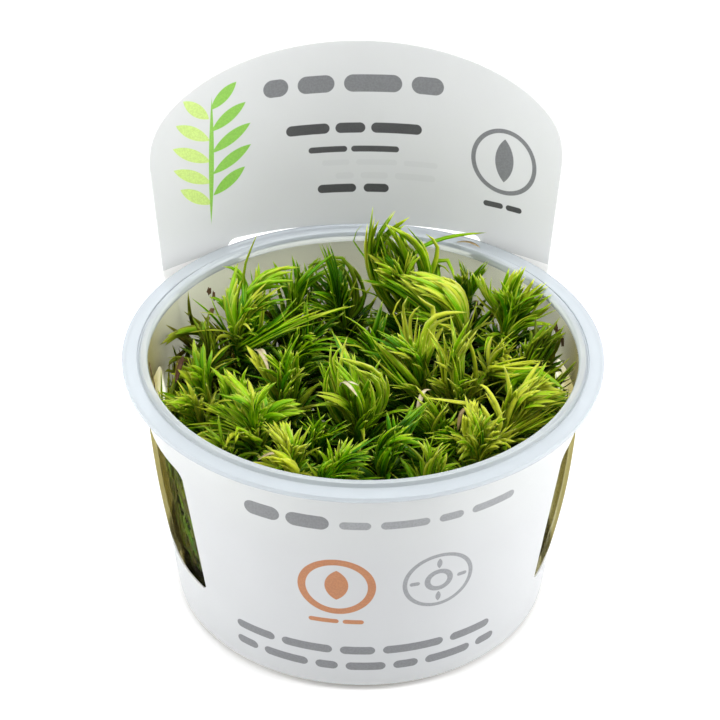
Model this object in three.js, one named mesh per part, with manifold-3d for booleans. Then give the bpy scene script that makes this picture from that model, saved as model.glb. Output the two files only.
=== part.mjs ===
// A tissue culture plant in its cup: a clear flanged plastic cup, a printed sleeve with a tall arched
// tongue at the back, a layer of growth medium, and a dense crowd of narrow-leaved shoots.
// Millimetres, +Z up. The origin is the middle of the cup's flat foot, and the tongue stands on +Y.

import * as THREE from "three";
import { mergeVertices } from "three/addons/utils/BufferGeometryUtils.js";
import Module from "manifold-3d";

// Cup
const CUP_HEIGHT = 59;
const CUP_FOOT_R = 39.66;
const WALL_SLOPE = 0.10987;
const CUP_WALL = 1.0;
const FOOT_EDGE = 0.6;
const FLANGE_R = 50;
const FLANGE_TOP = 58.4;
const FLANGE_UNDER = 57.7;
const FLANGE_LIP = 0.8;
const LIP_BOTTOM = 57.2;
const BEAD_OUTER_R = 46.5;
const BEAD_INNER_R = 44.7;
const BEAD_EDGE = 0.3;
const CUP_SIDES = 36;

// Printed sleeve and its tongue
const GAP = 0.3;
const SHEET = 0.4;
const SLEEVE_BOTTOM = 1.4;
const SLEEVE_TOP = 56.9;
const SLEEVE_SIDES = 48;
const TONGUE_Y = 48.3;
const TONGUE_CURVE_R = 70;
const TONGUE_LEAN = 0.1104;
const TONGUE_FLARE_START = 44;
const TONGUE_SIDE_ANGLE = 53;
const TONGUE_FLARE_END_ANGLE = 69;
const TONGUE_SIDE_Y = 29.8;
const TONGUE_HALF_WIDTH = 44.6;
const TONGUE_RIM_HALF_WIDTH = 42.8;
const TONGUE_SHOULDER_Z = 82.3;
const TONGUE_ARCH = 20.4;
const TONGUE_ARCH_POWER = 2.65;
const TONGUE_ARCH_STEPS = 16;
const SHEET_TOP = TONGUE_SHOULDER_Z + TONGUE_ARCH + 1;
const SLOT_HALF_LENGTH = 28.5;
const SLOT_HALF_HEIGHT = 2;
const SLOT_Z = 57.3;
const SLOT_END_STEPS = 5;
const WINDOW_TOP = 47;
const WINDOW_BOTTOM = { left: 14.7, right: 12.6 };
const WINDOW_CORNER = 4;
const WINDOW_CORNER_STEPS = 3;
const WINDOW_TIP = 1.2;
const WINDOW_REAR_Y = 14;
const WINDOW_FRONT_Y = { left: -25.4, right: -21.9 };
const WINDOW_CUT_FROM = 20;

// Growth medium
const MEDIUM_TOP = 10.3;
const MEDIUM_SIDES = 24;

// Shoots
const STEM_R = 1.2;
const STEM_SIDES = 8;
const STEM_STEPS = 3;
const STEM_FLUTE = 0.72;
const LEAFY_R = 6.5;
const LEAFY_PART = 0.66;
const ROOT_PULL = 0.82;
const LEAF_WIDTH = 5.0;
const LEAF_THICKNESS = 1.6;
const LEAF_SIDES = 3;
const LEAF_STEPS = 3;
const LEAF_WIDEST_AT = 0.36;
const LEAF_ROOT_WIDTH = 0.3;
const LEAF_ROOT_OUT = 0.6;
const LEAF_ROOTS_TOP = 1.5;
const LEAF_ROOTS_DOWN = 9;
const GOLDEN_TURN = 2.39996;
const TURNS = [0, 0.35, -0.35, 0.7, -0.7];
const LENGTHS = [1, 0.8, 0.6];
const LEAF_VARIATION = [1, 0.84, 0.94, 0.76, 0.9];
const TINY = 1e-6;
const FINEST_DETAIL = 0.12;

const wasm = await Module();
wasm.setup();

const finish = {
  clearPlastic: { color: 0xe9edef, roughness: 0.25, metalness: 0 },
  printedSheet: { color: 0xe6e9ee, roughness: 0.45, metalness: 0 },
  growthGel: { color: 0x9a9262, roughness: 0.5, metalness: 0 },
  freshLeaf: { color: 0x6fa51f, roughness: 0.45, metalness: 0 },
  yellowLeaf: { color: 0xa3b52c, roughness: 0.5, metalness: 0 },
  darkLeaf: { color: 0x3f6a1c, roughness: 0.45, metalness: 0 },
  oliveLeaf: { color: 0x71701f, roughness: 0.5, metalness: 0 },
};

// The shoots, by where their crowns stand. From the crown, rise leads to the middle of the leaves
// and reach to their tips; bulge and spread are how far the leaves open there. A tip in extra is a
// long leaf of its own, given by its middle and its end.
const SHOOTS = [
  { name: "back_tall", crown: [11, 26, 50], rise: [-3, 3, 11], reach: [-5, 6, 24], bulge: 7, spread: 7,
    leaves: 6, leaf: "freshLeaf", extra: [{ by: [17, 34, 66], to: [28, 40, 61] }] },
  { name: "back_swirl", crown: [23, 18, 50], rise: [-1, 3, 11], reach: [-17, 8, 11], bulge: 7, spread: 4,
    leaves: 6, leaf: "freshLeaf", extra: [] },
  { name: "left_back", crown: [-26, 17, 50], rise: [-1, 4, 8], reach: [3, 11, 10], bulge: 6, spread: 7,
    leaves: 6, leaf: "freshLeaf",
    extra: [{ by: [-18, 15, 56], to: [-12, 19, 58] }, { by: [-15, 13, 57], to: [-1, 17, 58] }] },
  { name: "left_star", crown: [-22, -16, 48], rise: [-1, 1, 5], reach: [-3, 4, 4], bulge: 8, spread: 12,
    leaves: 6, leaf: "freshLeaf", extra: [] },
  { name: "centre_bud", crown: [-1, -9, 44], rise: [0, 2, 8], reach: [-4, 8, 12], bulge: 8, spread: 4,
    leaves: 6, leaf: "freshLeaf", extra: [] },
  { name: "centre_spiky", crown: [20, -1, 44], rise: [0, 1, 6], reach: [0, 4, 12], bulge: 6, spread: 8,
    leaves: 6, leaf: "yellowLeaf", extra: [] },
  { name: "right_back", crown: [32, 18, 49], rise: [1, 2, 6], reach: [5, 4, 11], bulge: 6, spread: 8,
    leaves: 6, leaf: "darkLeaf", extra: [] },
  { name: "right_front", crown: [29, -15, 48], rise: [2, 1, 5], reach: [7, 3, 7], bulge: 6, spread: 8,
    leaves: 6, leaf: "freshLeaf", extra: [] },
  { name: "front_right", crown: [22, -24, 47], rise: [1, 0, 5], reach: [1, 2, 8], bulge: 6, spread: 8,
    leaves: 6, leaf: "freshLeaf", extra: [] },
  { name: "centre_pale", crown: [12, 3, 46], rise: [-3, 2, 5], reach: [-8, 5, 9], bulge: 5, spread: 5,
    leaves: 5, leaf: "freshLeaf", extra: [] },
  { name: "left_brown", crown: [-33, 12, 48], rise: [-3, 4, 5], reach: [-6, 8, 7], bulge: 6, spread: 8,
    leaves: 5, leaf: "oliveLeaf", extra: [] },
  { name: "back_dark", crown: [-3, 28, 46], rise: [-5, 3, 8], reach: [-4, 8, 11], bulge: 7, spread: 8,
    leaves: 6, leaf: "darkLeaf", extra: [] },
  { name: "left_middle", crown: [-16, -1, 45], rise: [0, 1, 5], reach: [-1, 3, 11], bulge: 6, spread: 8,
    leaves: 6, leaf: "freshLeaf", extra: [] },
  { name: "front_left", crown: [-16, -28, 47], rise: [0, 0, 5], reach: [-2, 4, 8], bulge: 6, spread: 7,
    leaves: 5, leaf: "yellowLeaf", extra: [] },
  { name: "front_centre", crown: [-7, -32, 47], rise: [2, 0, 4], reach: [5, 0, 5], bulge: 5, spread: 6,
    leaves: 5, leaf: "freshLeaf", extra: [] },
  { name: "front_middle", crown: [3, -24, 45], rise: [3, 4, 5], reach: [7, 8, 8], bulge: 5, spread: 6,
    leaves: 6, leaf: "darkLeaf", extra: [] },
  { name: "left_yellow", crown: [-34, -8, 46], rise: [-2, 0, 4], reach: [-5, 3, 4], bulge: 5, spread: 7,
    leaves: 5, leaf: "yellowLeaf", extra: [] },
  { name: "left_pale", crown: [-33, 2, 44], rise: [-1, 1, 4], reach: [-4, 3, 7], bulge: 5, spread: 7,
    leaves: 4, leaf: "freshLeaf", extra: [] },
  { name: "right_brown", crown: [35, 5, 48], rise: [2, 2, 5], reach: [4, 5, 9], bulge: 5, spread: 6,
    leaves: 5, leaf: "oliveLeaf", extra: [] },
  { name: "right_middle", crown: [28, 5, 48], rise: [3, -1, 5], reach: [8, -4, 6], bulge: 5, spread: 5,
    leaves: 5, leaf: "yellowLeaf", extra: [] },
  { name: "right_low", crown: [34, -7, 46], rise: [2, -1, 5], reach: [6, -3, 6], bulge: 5, spread: 7,
    leaves: 4, leaf: "darkLeaf", extra: [] },
  { name: "front_low", crown: [14, -17, 44], rise: [-2, 0, 4], reach: [-4, -2, 6], bulge: 5, spread: 7,
    leaves: 4, leaf: "freshLeaf", extra: [] },
  { name: "middle_low", crown: [3, 11, 44], rise: [0, 1, 6], reach: [1, 3, 9], bulge: 6, spread: 9,
    leaves: 4, leaf: "darkLeaf", extra: [] },
  { name: "left_low", crown: [-14, 11, 46], rise: [1, 2, 5], reach: [2, 3, 8], bulge: 6, spread: 9,
    leaves: 4, leaf: "darkLeaf", extra: [] },
  { name: "back_left_low", crown: [-15, 28, 46], rise: [0, 3, 6], reach: [1, 5, 9], bulge: 6, spread: 9,
    leaves: 4, leaf: "darkLeaf", extra: [] },
  { name: "front_edge", crown: [-28, -23, 45], rise: [-1, -1, 4], reach: [-3, -2, 6], bulge: 5, spread: 7,
    leaves: 4, leaf: "oliveLeaf", extra: [] },
  { name: "front_inner", crown: [-10, -17, 42], rise: [0, -1, 4], reach: [1, -2, 7], bulge: 4, spread: 6,
    leaves: 4, leaf: "darkLeaf", extra: [] },
  { name: "left_inner", crown: [-25, -5, 43], rise: [0, 0, 4], reach: [-1, 0, 7], bulge: 4, spread: 6,
    leaves: 4, leaf: "freshLeaf", extra: [] },
  { name: "back_right_low", crown: [24, 30, 46], rise: [1, 1, 6], reach: [2, 3, 9], bulge: 5, spread: 8,
    leaves: 4, leaf: "darkLeaf", extra: [] },
  { name: "front_gap", crown: [12, -31, 45], rise: [0, 0, 4], reach: [1, 1, 7], bulge: 5, spread: 7,
    leaves: 4, leaf: "freshLeaf", extra: [] },
];

const outerWall = (z) => CUP_FOOT_R + WALL_SLOPE * z;
const innerWall = (z) => outerWall(z) - CUP_WALL;
const vector = (list) => new THREE.Vector3(...list);

// Turns a closed geometry into a solid that can be joined and cut.
function solidOf(geometry) {
  geometry.deleteAttribute("normal");
  geometry.deleteAttribute("uv");
  const merged = mergeVertices(geometry);
  const index = Array.from(merged.index.array);
  const faces = [];
  for (let i = 0; i < index.length; i += 3) {
    const [a, b, c] = index.slice(i, i + 3);
    if (a !== b && b !== c && c !== a) faces.push(a, b, c);
  }
  const vertProperties = new Float32Array(merged.attributes.position.array);
  const triVerts = new Uint32Array(faces);
  return new wasm.Manifold(new wasm.Mesh({ numProp: 3, vertProperties, triVerts }));
}

// Names a finished solid and gives it its material.
function pieceOf(name, solid, look) {
  const { vertProperties, triVerts } = solid.getMesh();
  const geometry = new THREE.BufferGeometry();
  geometry.setAttribute("position", new THREE.BufferAttribute(new Float32Array(vertProperties), 3));
  geometry.setIndex(new THREE.BufferAttribute(new Uint32Array(triVerts), 1));
  geometry.computeVertexNormals();
  const material = new THREE.MeshStandardMaterial({ ...finish[look], flatShading: true });
  const mesh = new THREE.Mesh(geometry, material);
  mesh.name = name;
  return mesh;
}

// Spins a profile of [radius, height] points about the upright axis, starting at the front.
function turned(profile, sides) {
  const points = profile.map(([r, z]) => new THREE.Vector2(r, z));
  return new THREE.LatheGeometry(points, sides).rotateX(Math.PI / 2);
}

// Moves every vertex of a geometry to the place that move() returns for it.
function reshaped(geometry, move) {
  const position = geometry.attributes.position;
  const point = new THREE.Vector3();
  for (let i = 0; i < position.count; i += 1) {
    point.copy(move(point.fromBufferAttribute(position, i)));
    position.setXYZ(i, point.x, point.y, point.z);
  }
  return geometry;
}

function cupSolid() {
  const profile = [
    [0, 0],
    [CUP_FOOT_R - FOOT_EDGE, 0],
    [outerWall(FOOT_EDGE), FOOT_EDGE],
    [outerWall(FLANGE_UNDER), FLANGE_UNDER],
    [FLANGE_R - FLANGE_LIP, FLANGE_UNDER],
    [FLANGE_R - FLANGE_LIP, LIP_BOTTOM],
    [FLANGE_R, LIP_BOTTOM],
    [FLANGE_R, FLANGE_TOP - BEAD_EDGE],
    [FLANGE_R - BEAD_EDGE, FLANGE_TOP],
    [BEAD_OUTER_R, FLANGE_TOP],
    [BEAD_OUTER_R - BEAD_EDGE, CUP_HEIGHT],
    [BEAD_INNER_R + BEAD_EDGE, CUP_HEIGHT],
    [BEAD_INNER_R, CUP_HEIGHT - BEAD_EDGE],
    [innerWall(FLANGE_UNDER), LIP_BOTTOM],
    [innerWall(CUP_WALL + FOOT_EDGE), CUP_WALL + FOOT_EDGE],
    [innerWall(CUP_WALL) - FOOT_EDGE, CUP_WALL],
    [0, CUP_WALL],
  ];
  return solidOf(turned(profile, CUP_SIDES));
}

function mediumSolid() {
  const bottom = CUP_WALL + GAP;
  const profile = [
    [0, bottom],
    [innerWall(bottom) - FOOT_EDGE - GAP, bottom],
    [innerWall(bottom + FOOT_EDGE) - GAP, bottom + FOOT_EDGE],
    [innerWall(MEDIUM_TOP) - GAP, MEDIUM_TOP],
    [0, MEDIUM_TOP],
  ];
  return solidOf(turned(profile, MEDIUM_SIDES));
}

// The sheet's outer radius at an angle from the back and a height. Low down it is the cone round the
// cup; above the flare it is a flatter curve, the tongue, that leans back a little.
function sheetRadius(angle, z) {
  const cone = outerWall(z) + GAP + SHEET;
  const centreY = TONGUE_Y + TONGUE_LEAN * (z - CUP_HEIGHT) - TONGUE_CURVE_R;
  const across = centreY * Math.sin(angle);
  const tongue = centreY * Math.cos(angle) + Math.sqrt(TONGUE_CURVE_R ** 2 - across ** 2);
  const height = THREE.MathUtils.smoothstep(z, TONGUE_FLARE_START, SLEEVE_TOP);
  const degrees = THREE.MathUtils.radToDeg(angle);
  const band = 1 - THREE.MathUtils.smoothstep(degrees, TONGUE_SIDE_ANGLE, TONGUE_FLARE_END_ANGLE);
  const round = z > SLEEVE_TOP + GAP / 2 ? 1 : band;
  return THREE.MathUtils.lerp(cone, tongue, height * round);
}

// A ring of sheet that stands as high as the tongue all the way round, before it is cut to shape.
function sheetRing() {
  const flareMiddle = (TONGUE_FLARE_START + SLEEVE_TOP) / 2;
  const levels = [SLEEVE_BOTTOM, TONGUE_FLARE_START, flareMiddle, SLEEVE_TOP, SLEEVE_TOP + GAP, SHEET_TOP];
  const outerSide = levels.map((z) => [FLANGE_R, z]);
  const innerSide = levels.map((z) => [CUP_FOOT_R, z]).reverse();
  const loop = [...outerSide, ...innerSide, outerSide[0]];
  return reshaped(turned(loop, SLEEVE_SIDES), (p) => {
    const flat = Math.hypot(p.x, p.y);
    const inside = flat < (FLANGE_R + CUP_FOOT_R) / 2;
    const angle = Math.atan2(Math.abs(p.x), p.y);
    const r = sheetRadius(angle, p.z) - (inside ? SHEET : 0);
    return p.set((p.x / flat) * r, (p.y / flat) * r, p.z);
  });
}

// Extrudes a shape drawn in the upright plane across X, from y = from to y = to.
function cutterAlongY(shape, from, to, curveSegments = 1) {
  const cutter = new THREE.ExtrudeGeometry(shape, { depth: to - from, bevelEnabled: false, curveSegments });
  return solidOf(cutter.rotateX(Math.PI / 2).translate(0, to, 0));
}

// Everything above the sleeve's top edge that isn't the tongue, seen from behind.
function tongueSurround() {
  const shape = new THREE.Shape();
  const far = 2 * TONGUE_HALF_WIDTH;
  shape.moveTo(-far, SLEEVE_TOP);
  shape.lineTo(-TONGUE_RIM_HALF_WIDTH, SLEEVE_TOP);
  for (let i = 0; i <= TONGUE_ARCH_STEPS; i += 1) {
    const x = -TONGUE_HALF_WIDTH * Math.cos((Math.PI * i) / TONGUE_ARCH_STEPS);
    const part = 1 - (x / TONGUE_HALF_WIDTH) ** 2;
    shape.lineTo(x, TONGUE_SHOULDER_Z + TONGUE_ARCH * Math.max(part, 0) ** (1 / TONGUE_ARCH_POWER));
  }
  shape.lineTo(TONGUE_RIM_HALF_WIDTH, SLEEVE_TOP);
  shape.lineTo(far, SLEEVE_TOP);
  shape.lineTo(far, SHEET_TOP + GAP);
  shape.lineTo(-far, SHEET_TOP + GAP);
  return cutterAlongY(shape, 0, far);
}

function frontTopCutter() {
  const size = 5 * FLANGE_R;
  const cutter = new THREE.BoxGeometry(size, size, CUP_HEIGHT);
  return solidOf(cutter.translate(0, TONGUE_SIDE_Y - size / 2, SLEEVE_TOP + CUP_HEIGHT / 2));
}

function slotCutter() {
  const shape = new THREE.Shape();
  const straight = SLOT_HALF_LENGTH - SLOT_HALF_HEIGHT;
  shape.absarc(straight, SLOT_Z, SLOT_HALF_HEIGHT, -Math.PI / 2, Math.PI / 2);
  shape.absarc(-straight, SLOT_Z, SLOT_HALF_HEIGHT, Math.PI / 2, (3 * Math.PI) / 2);
  return cutterAlongY(shape, TONGUE_SIDE_Y, 2 * FLANGE_R, SLOT_END_STEPS);
}

// A side window, drawn in the upright plane across Y and cut outwards from inside the cup.
function windowCutter(side) {
  const front = WINDOW_FRONT_Y[side];
  const rear = WINDOW_REAR_Y - WINDOW_CORNER;
  const high = WINDOW_TOP - WINDOW_CORNER;
  const bottom = WINDOW_BOTTOM[side];
  const low = bottom + WINDOW_CORNER;
  const shape = new THREE.Shape();
  shape.moveTo(front, bottom + WINDOW_TIP);
  shape.lineTo(front, high);
  shape.absarc(front + WINDOW_CORNER, high, WINDOW_CORNER, Math.PI, Math.PI / 2, true);
  shape.absarc(rear, high, WINDOW_CORNER, Math.PI / 2, 0, true);
  shape.absarc(rear, low, WINDOW_CORNER, 0, -Math.PI / 2, true);
  shape.lineTo(front + WINDOW_TIP, bottom);
  const steps = { depth: FLANGE_R, bevelEnabled: false, curveSegments: WINDOW_CORNER_STEPS };
  const cutter = new THREE.ExtrudeGeometry(shape, steps);
  const along = new THREE.Matrix4().makeBasis(vector([0, 1, 0]), vector([0, 0, 1]), vector([1, 0, 0]));
  const from = side === "left" ? -WINDOW_CUT_FROM - FLANGE_R : WINDOW_CUT_FROM;
  return solidOf(cutter.applyMatrix4(along).translate(from, 0, 0));
}

// Room for the cup's flange where it comes through the slot.
function flangeRoom() {
  const inner = CUP_FOOT_R;
  const outer = FLANGE_R + GAP;
  const low = LIP_BOTTOM - GAP;
  const high = FLANGE_TOP + GAP;
  const profile = [[inner, low], [outer, low], [outer, high], [inner, high], [inner, low]];
  return solidOf(turned(profile, SLEEVE_SIDES));
}

function sleeveSolid() {
  const cutters = [tongueSurround(), frontTopCutter(), slotCutter(), flangeRoom(),
    windowCutter("left"), windowCutter("right")];
  return cutters.reduce((sheet, cutter) => sheet.subtract(cutter), solidOf(sheetRing()));
}

// A leaf: a cone of few sides, flattened and laid along a curve. Room makes it that much bigger.
function leafSolid(path, side, room) {
  const cone = new THREE.ConeGeometry(1, 1, LEAF_SIDES, LEAF_STEPS);
  return solidOf(reshaped(cone, (p) => {
    const t = p.y + 0.5;
    const atTip = t > 1 - TINY;
    const swell = Math.sin((Math.PI / 2) * Math.min(2, t / LEAF_WIDEST_AT));
    const fullness = THREE.MathUtils.lerp(LEAF_ROOT_WIDTH, 1, swell) / (atTip ? 1 : 1 - t);
    const across = p.x * fullness * (LEAF_WIDTH / 2 + room);
    const deep = p.z * fullness * (LEAF_THICKNESS / 2 + room);
    const ahead = path.getTangent(t);
    const flat = side.clone().addScaledVector(ahead, -side.dot(ahead)).normalize();
    const normal = new THREE.Vector3().crossVectors(flat, ahead);
    const along = path.getPoint(t).addScaledVector(ahead, atTip ? room : 0);
    return along.addScaledVector(flat, across).addScaledVector(normal, deep);
  }));
}

// The stem's middle line, from the growth medium up to the crown.
function stemPath(shoot) {
  const crown = vector(shoot.crown);
  const root = new THREE.Vector3(crown.x * ROOT_PULL, crown.y * ROOT_PULL, MEDIUM_TOP + GAP);
  const bend = new THREE.Vector3(crown.x, crown.y, (crown.z + root.z) / 2);
  return new THREE.QuadraticBezierCurve3(root, bend, crown);
}

// A place on the stem's middle line, by how far it lies below the crown.
function onStem(shoot, drop) {
  const path = stemPath(shoot);
  return path.getPointAt(1 - drop / path.getLength());
}

// How far the short leaves down a stem reach before they meet the next stem or the wall.
function leafyRadius(shoot) {
  const [x, y, z] = shoot.crown;
  const others = SHOOTS.filter((other) => other !== shoot);
  const halfways = others.map(({ crown }) => Math.hypot(crown[0] - x, crown[1] - y) / 2);
  return Math.min(LEAFY_R, innerWall(z) - Math.hypot(x, y), ...halfways) - 2 * GAP;
}

// A stem with the crowd of short leaves along it, as one fluted column that narrows at the crown.
function stemSolid(shoot, room) {
  const path = stemPath(shoot);
  const leafy = leafyRadius(shoot);
  const column = new THREE.CylinderGeometry(1, 1, 1, STEM_SIDES, STEM_STEPS);
  return solidOf(reshaped(column, (p) => {
    const t = p.y + 0.5;
    const side = Math.round((Math.atan2(p.x, p.z) / (2 * Math.PI)) * STEM_SIDES);
    const full = leafy * (side % 2 ? STEM_FLUTE : 1) * THREE.MathUtils.lerp(ROOT_PULL, 1, t);
    const r = THREE.MathUtils.lerp(full, STEM_R, THREE.MathUtils.smoothstep(t, LEAFY_PART, 1)) + room;
    return path.getPoint(t).add(new THREE.Vector3(p.z * r, p.x * r, t > 1 - TINY ? room : 0));
  }));
}

// The path of one leaf of a shoot, with the direction across its blade.
function leafPath(shoot, k, turn, length) {
  const reach = vector(shoot.reach);
  const axis = reach.clone().normalize();
  const first = new THREE.Vector3().crossVectors(axis, vector([0, 1, 0])).normalize();
  const second = new THREE.Vector3().crossVectors(axis, first);
  const angle = k * GOLDEN_TURN + turn;
  const outward = first.multiplyScalar(Math.cos(angle)).addScaledVector(second, Math.sin(angle));
  const open = Math.sqrt((k + 0.5) / shoot.leaves);
  const size = length * LEAF_VARIATION[k % LEAF_VARIATION.length];
  const drop = LEAF_ROOTS_TOP + LEAF_ROOTS_DOWN * (k / shoot.leaves);
  const start = onStem(shoot, drop).addScaledVector(outward, LEAF_ROOT_OUT);
  const middle = vector(shoot.rise).multiplyScalar(size).addScaledVector(outward, shoot.bulge * open);
  const tip = reach.multiplyScalar(size).addScaledVector(outward, shoot.spread * open);
  return {
    path: new THREE.QuadraticBezierCurve3(start, middle.add(start), tip.add(start)),
    side: new THREE.Vector3().crossVectors(axis, outward),
  };
}

// The first leaf among the tries that stays clear of everything already in the cup.
function clearLeaf(tries, placed) {
  for (const { path, side } of tries) {
    const room = leafSolid(path, side, GAP);
    if (room.intersect(placed).isEmpty()) return leafSolid(path, side, 0);
  }
  return null;
}

function shootSolid(shoot, placed) {
  let solid = stemSolid(shoot, 0);
  const tries = [];
  for (const { by, to } of shoot.extra) {
    const path = new THREE.QuadraticBezierCurve3(onStem(shoot, LEAF_ROOTS_TOP), vector(by), vector(to));
    const side = new THREE.Vector3().crossVectors(path.getTangent(0.5), vector([0, 0, 1])).normalize();
    tries.push([{ path, side }]);
  }
  for (let k = 0; k < shoot.leaves; k += 1) {
    tries.push(LENGTHS.flatMap((length) => TURNS.map((turn) => leafPath(shoot, k, turn, length))));
  }
  for (const leafTries of tries) {
    const leaf = clearLeaf(leafTries, placed);
    if (leaf) solid = solid.add(leaf);
  }
  return solid.simplify(FINEST_DETAIL);
}

const plantInCup = new THREE.Group();
const cup = cupSolid();
const sleeve = sleeveSolid();
const medium = mediumSolid();
plantInCup.add(pieceOf("cup", cup, "clearPlastic"));
plantInCup.add(pieceOf("label_sleeve", sleeve, "printedSheet"));
plantInCup.add(pieceOf("growth_medium", medium, "growthGel"));

const stemsRoom = SHOOTS.map((shoot) => stemSolid(shoot, GAP));
let placed = cup.add(sleeve).add(medium);
SHOOTS.forEach((shoot, i) => {
  const otherStems = stemsRoom.filter((_, j) => j !== i).reduce((all, stem) => all.add(stem));
  const solid = shootSolid(shoot, placed.add(otherStems));
  placed = placed.add(solid);
  plantInCup.add(pieceOf(`shoot_${shoot.name}`, solid, shoot.leaf));
});

export default plantInCup;
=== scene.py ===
"""Dresses a tissue culture plant and its cup for the camera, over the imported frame.

Each class builds one part of the object in millimetres and hands it over in metres: the cup, the
printed sleeve, the growth gel, the shoots and the scraps that stick to the wall. The studio class
adds the floor, the lights and the camera.
"""

import sys

import logging
import math
import random
from collections.abc import Iterable
from dataclasses import dataclass, field
from enum import Enum

import bmesh
import bpy
from bmesh.types import BMesh, BMFace, BMVert
from bpy.types import Material, Node, NodeSocket, Object
from mathutils import Matrix, Vector

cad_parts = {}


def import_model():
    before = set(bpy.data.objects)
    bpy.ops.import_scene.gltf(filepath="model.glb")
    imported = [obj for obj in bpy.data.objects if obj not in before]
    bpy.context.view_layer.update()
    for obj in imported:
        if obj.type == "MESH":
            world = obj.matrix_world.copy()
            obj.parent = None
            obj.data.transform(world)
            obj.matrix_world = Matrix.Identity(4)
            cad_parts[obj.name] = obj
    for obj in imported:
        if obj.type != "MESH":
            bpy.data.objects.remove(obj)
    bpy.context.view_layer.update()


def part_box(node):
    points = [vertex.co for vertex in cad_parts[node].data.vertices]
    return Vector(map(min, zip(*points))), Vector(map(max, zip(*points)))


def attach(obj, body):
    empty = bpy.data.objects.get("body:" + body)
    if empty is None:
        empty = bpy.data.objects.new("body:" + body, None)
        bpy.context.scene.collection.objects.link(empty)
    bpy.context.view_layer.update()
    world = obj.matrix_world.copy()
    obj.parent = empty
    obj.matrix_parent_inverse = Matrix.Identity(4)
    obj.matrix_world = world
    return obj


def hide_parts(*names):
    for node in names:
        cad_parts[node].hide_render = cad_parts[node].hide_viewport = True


LOG = logging.getLogger("plant_cup")
MM = 0.001
PHOTO_SIDE = 720
SENSOR = 36.0
UP = Vector((0, 0, 1))
FULL_TURN = 2 * math.pi
GOLDEN_TURN = math.pi * (3 - math.sqrt(5))
NOISE = (0.3, 0.7)
RIM_BLUE = (0.67, 0.72, 0.76)

Colour = tuple[float, float, float]
Point = tuple[float, float, float]
Flat = tuple[float, float]
Span = tuple[float, float]


# Helpers for meshes


def smoothstep(value: float, low: float, high: float) -> float:
    """Returns 0 below low, 1 above high, and a smooth step between them."""
    t = min(1.0, max(0.0, (value - low) / (high - low)))
    return t * t * (3 - 2 * t)


def wrapped(angle: float) -> float:
    """Returns an angle in radians brought to between minus pi and pi."""
    return math.remainder(angle, FULL_TURN)


def round_cup(radius: float, angle: float, z: float) -> Vector:
    """Returns the place at a radius, an angle in radians from the back and a height."""
    return Vector((radius * math.sin(angle), radius * math.cos(angle), z))


def of_kind(items: Iterable[object], kind: type) -> list:
    """Returns the items of one kind."""
    return [item for item in items if isinstance(item, kind)]


def faces_of(verts: Iterable[BMVert]) -> list[BMFace]:
    """Returns each face that meets any of some corners, once."""
    return list({face for vert in verts for face in vert.link_faces})


def sharp_edges(bm: BMesh, fold: float) -> list[bmesh.types.BMEdge]:
    """Returns the edges that fold by more than an angle in degrees."""
    return [e for e in bm.edges if len(e.link_faces) == 2 and e.calc_face_angle() > math.radians(fold)]


def spin_profile(profile: Iterable[Flat], steps: int) -> BMesh:
    """Spins a profile about the upright axis into a closed skin.

    Args:
        profile: radius and height of each corner, from the axis round to the axis again.
        steps: how many facets go round.

    Returns:
        The skin, with its faces pointing out.
    """
    bm = bmesh.new()
    corners = [bm.verts.new((radius, 0, height)) for radius, height in profile]
    edges = [bm.edges.new(pair) for pair in zip(corners, corners[1:])]
    bmesh.ops.spin(bm, geom=corners + edges, cent=(0, 0, 0), axis=(0, 0, 1), dvec=(0, 0, 0),
                   angle=FULL_TURN, steps=steps, use_merge=True, use_duplicate=False)
    bmesh.ops.remove_doubles(bm, verts=bm.verts[:], dist=1e-4)
    bmesh.ops.recalc_face_normals(bm, faces=bm.faces[:])
    return bm


def extrude(bm: BMesh, cap: list[BMFace], shift: Vector) -> tuple[list[BMFace], list[BMVert]]:
    """Grows a closed mesh out of one of its ends.

    Args:
        bm: the mesh.
        cap: the faces at that end.
        shift: how far they move.

    Returns:
        The faces and the corners of the new end.
    """
    grown = bmesh.ops.extrude_face_region(bm, geom=cap)["geom"]
    corners = of_kind(grown, BMVert)
    bmesh.ops.translate(bm, verts=corners, vec=shift)
    return of_kind(grown, BMFace), corners


def leaf_mesh() -> BMesh:
    """Starts a mesh with all that a leaf's finish reads.

    Returns:
        The mesh, with a map of each blade and with each corner's tone and age.
    """
    bm = bmesh.new()
    bm.loops.layers.uv.new("blade")
    bm.verts.layers.float.new("tone")
    bm.verts.layers.float.new("age")
    return bm


def placed(bm: BMesh, name: str, *materials: Material) -> Object:
    """Turns a mesh into an object of the scene.

    Args:
        bm: the mesh, which is freed.
        name: the object's name.
        materials: its finishes.

    Returns:
        The object.
    """
    mesh = bpy.data.meshes.new(name)
    bm.to_mesh(mesh)
    bm.free()
    for material in materials:
        mesh.materials.append(material)
    thing = bpy.data.objects.new(name, mesh)
    bpy.context.scene.collection.objects.link(thing)
    return thing


def finished(bm: BMesh, name: str, *materials: Material) -> Object:
    """Turns a mesh in millimetres into a piece in metres that rides on the cup.

    Args:
        bm: the mesh, which is freed.
        name: the piece's name.
        materials: its finishes, in the order of its faces' material numbers.

    Returns:
        The piece.
    """
    bmesh.ops.scale(bm, vec=(MM, MM, MM), verts=bm.verts[:])
    for face in bm.faces:
        face.smooth = True
    piece = placed(bm, name, *materials)
    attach(piece, "root")
    LOG.info("%s: %d faces", name, len(piece.data.polygons))
    return piece


# Helpers for finishes


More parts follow.
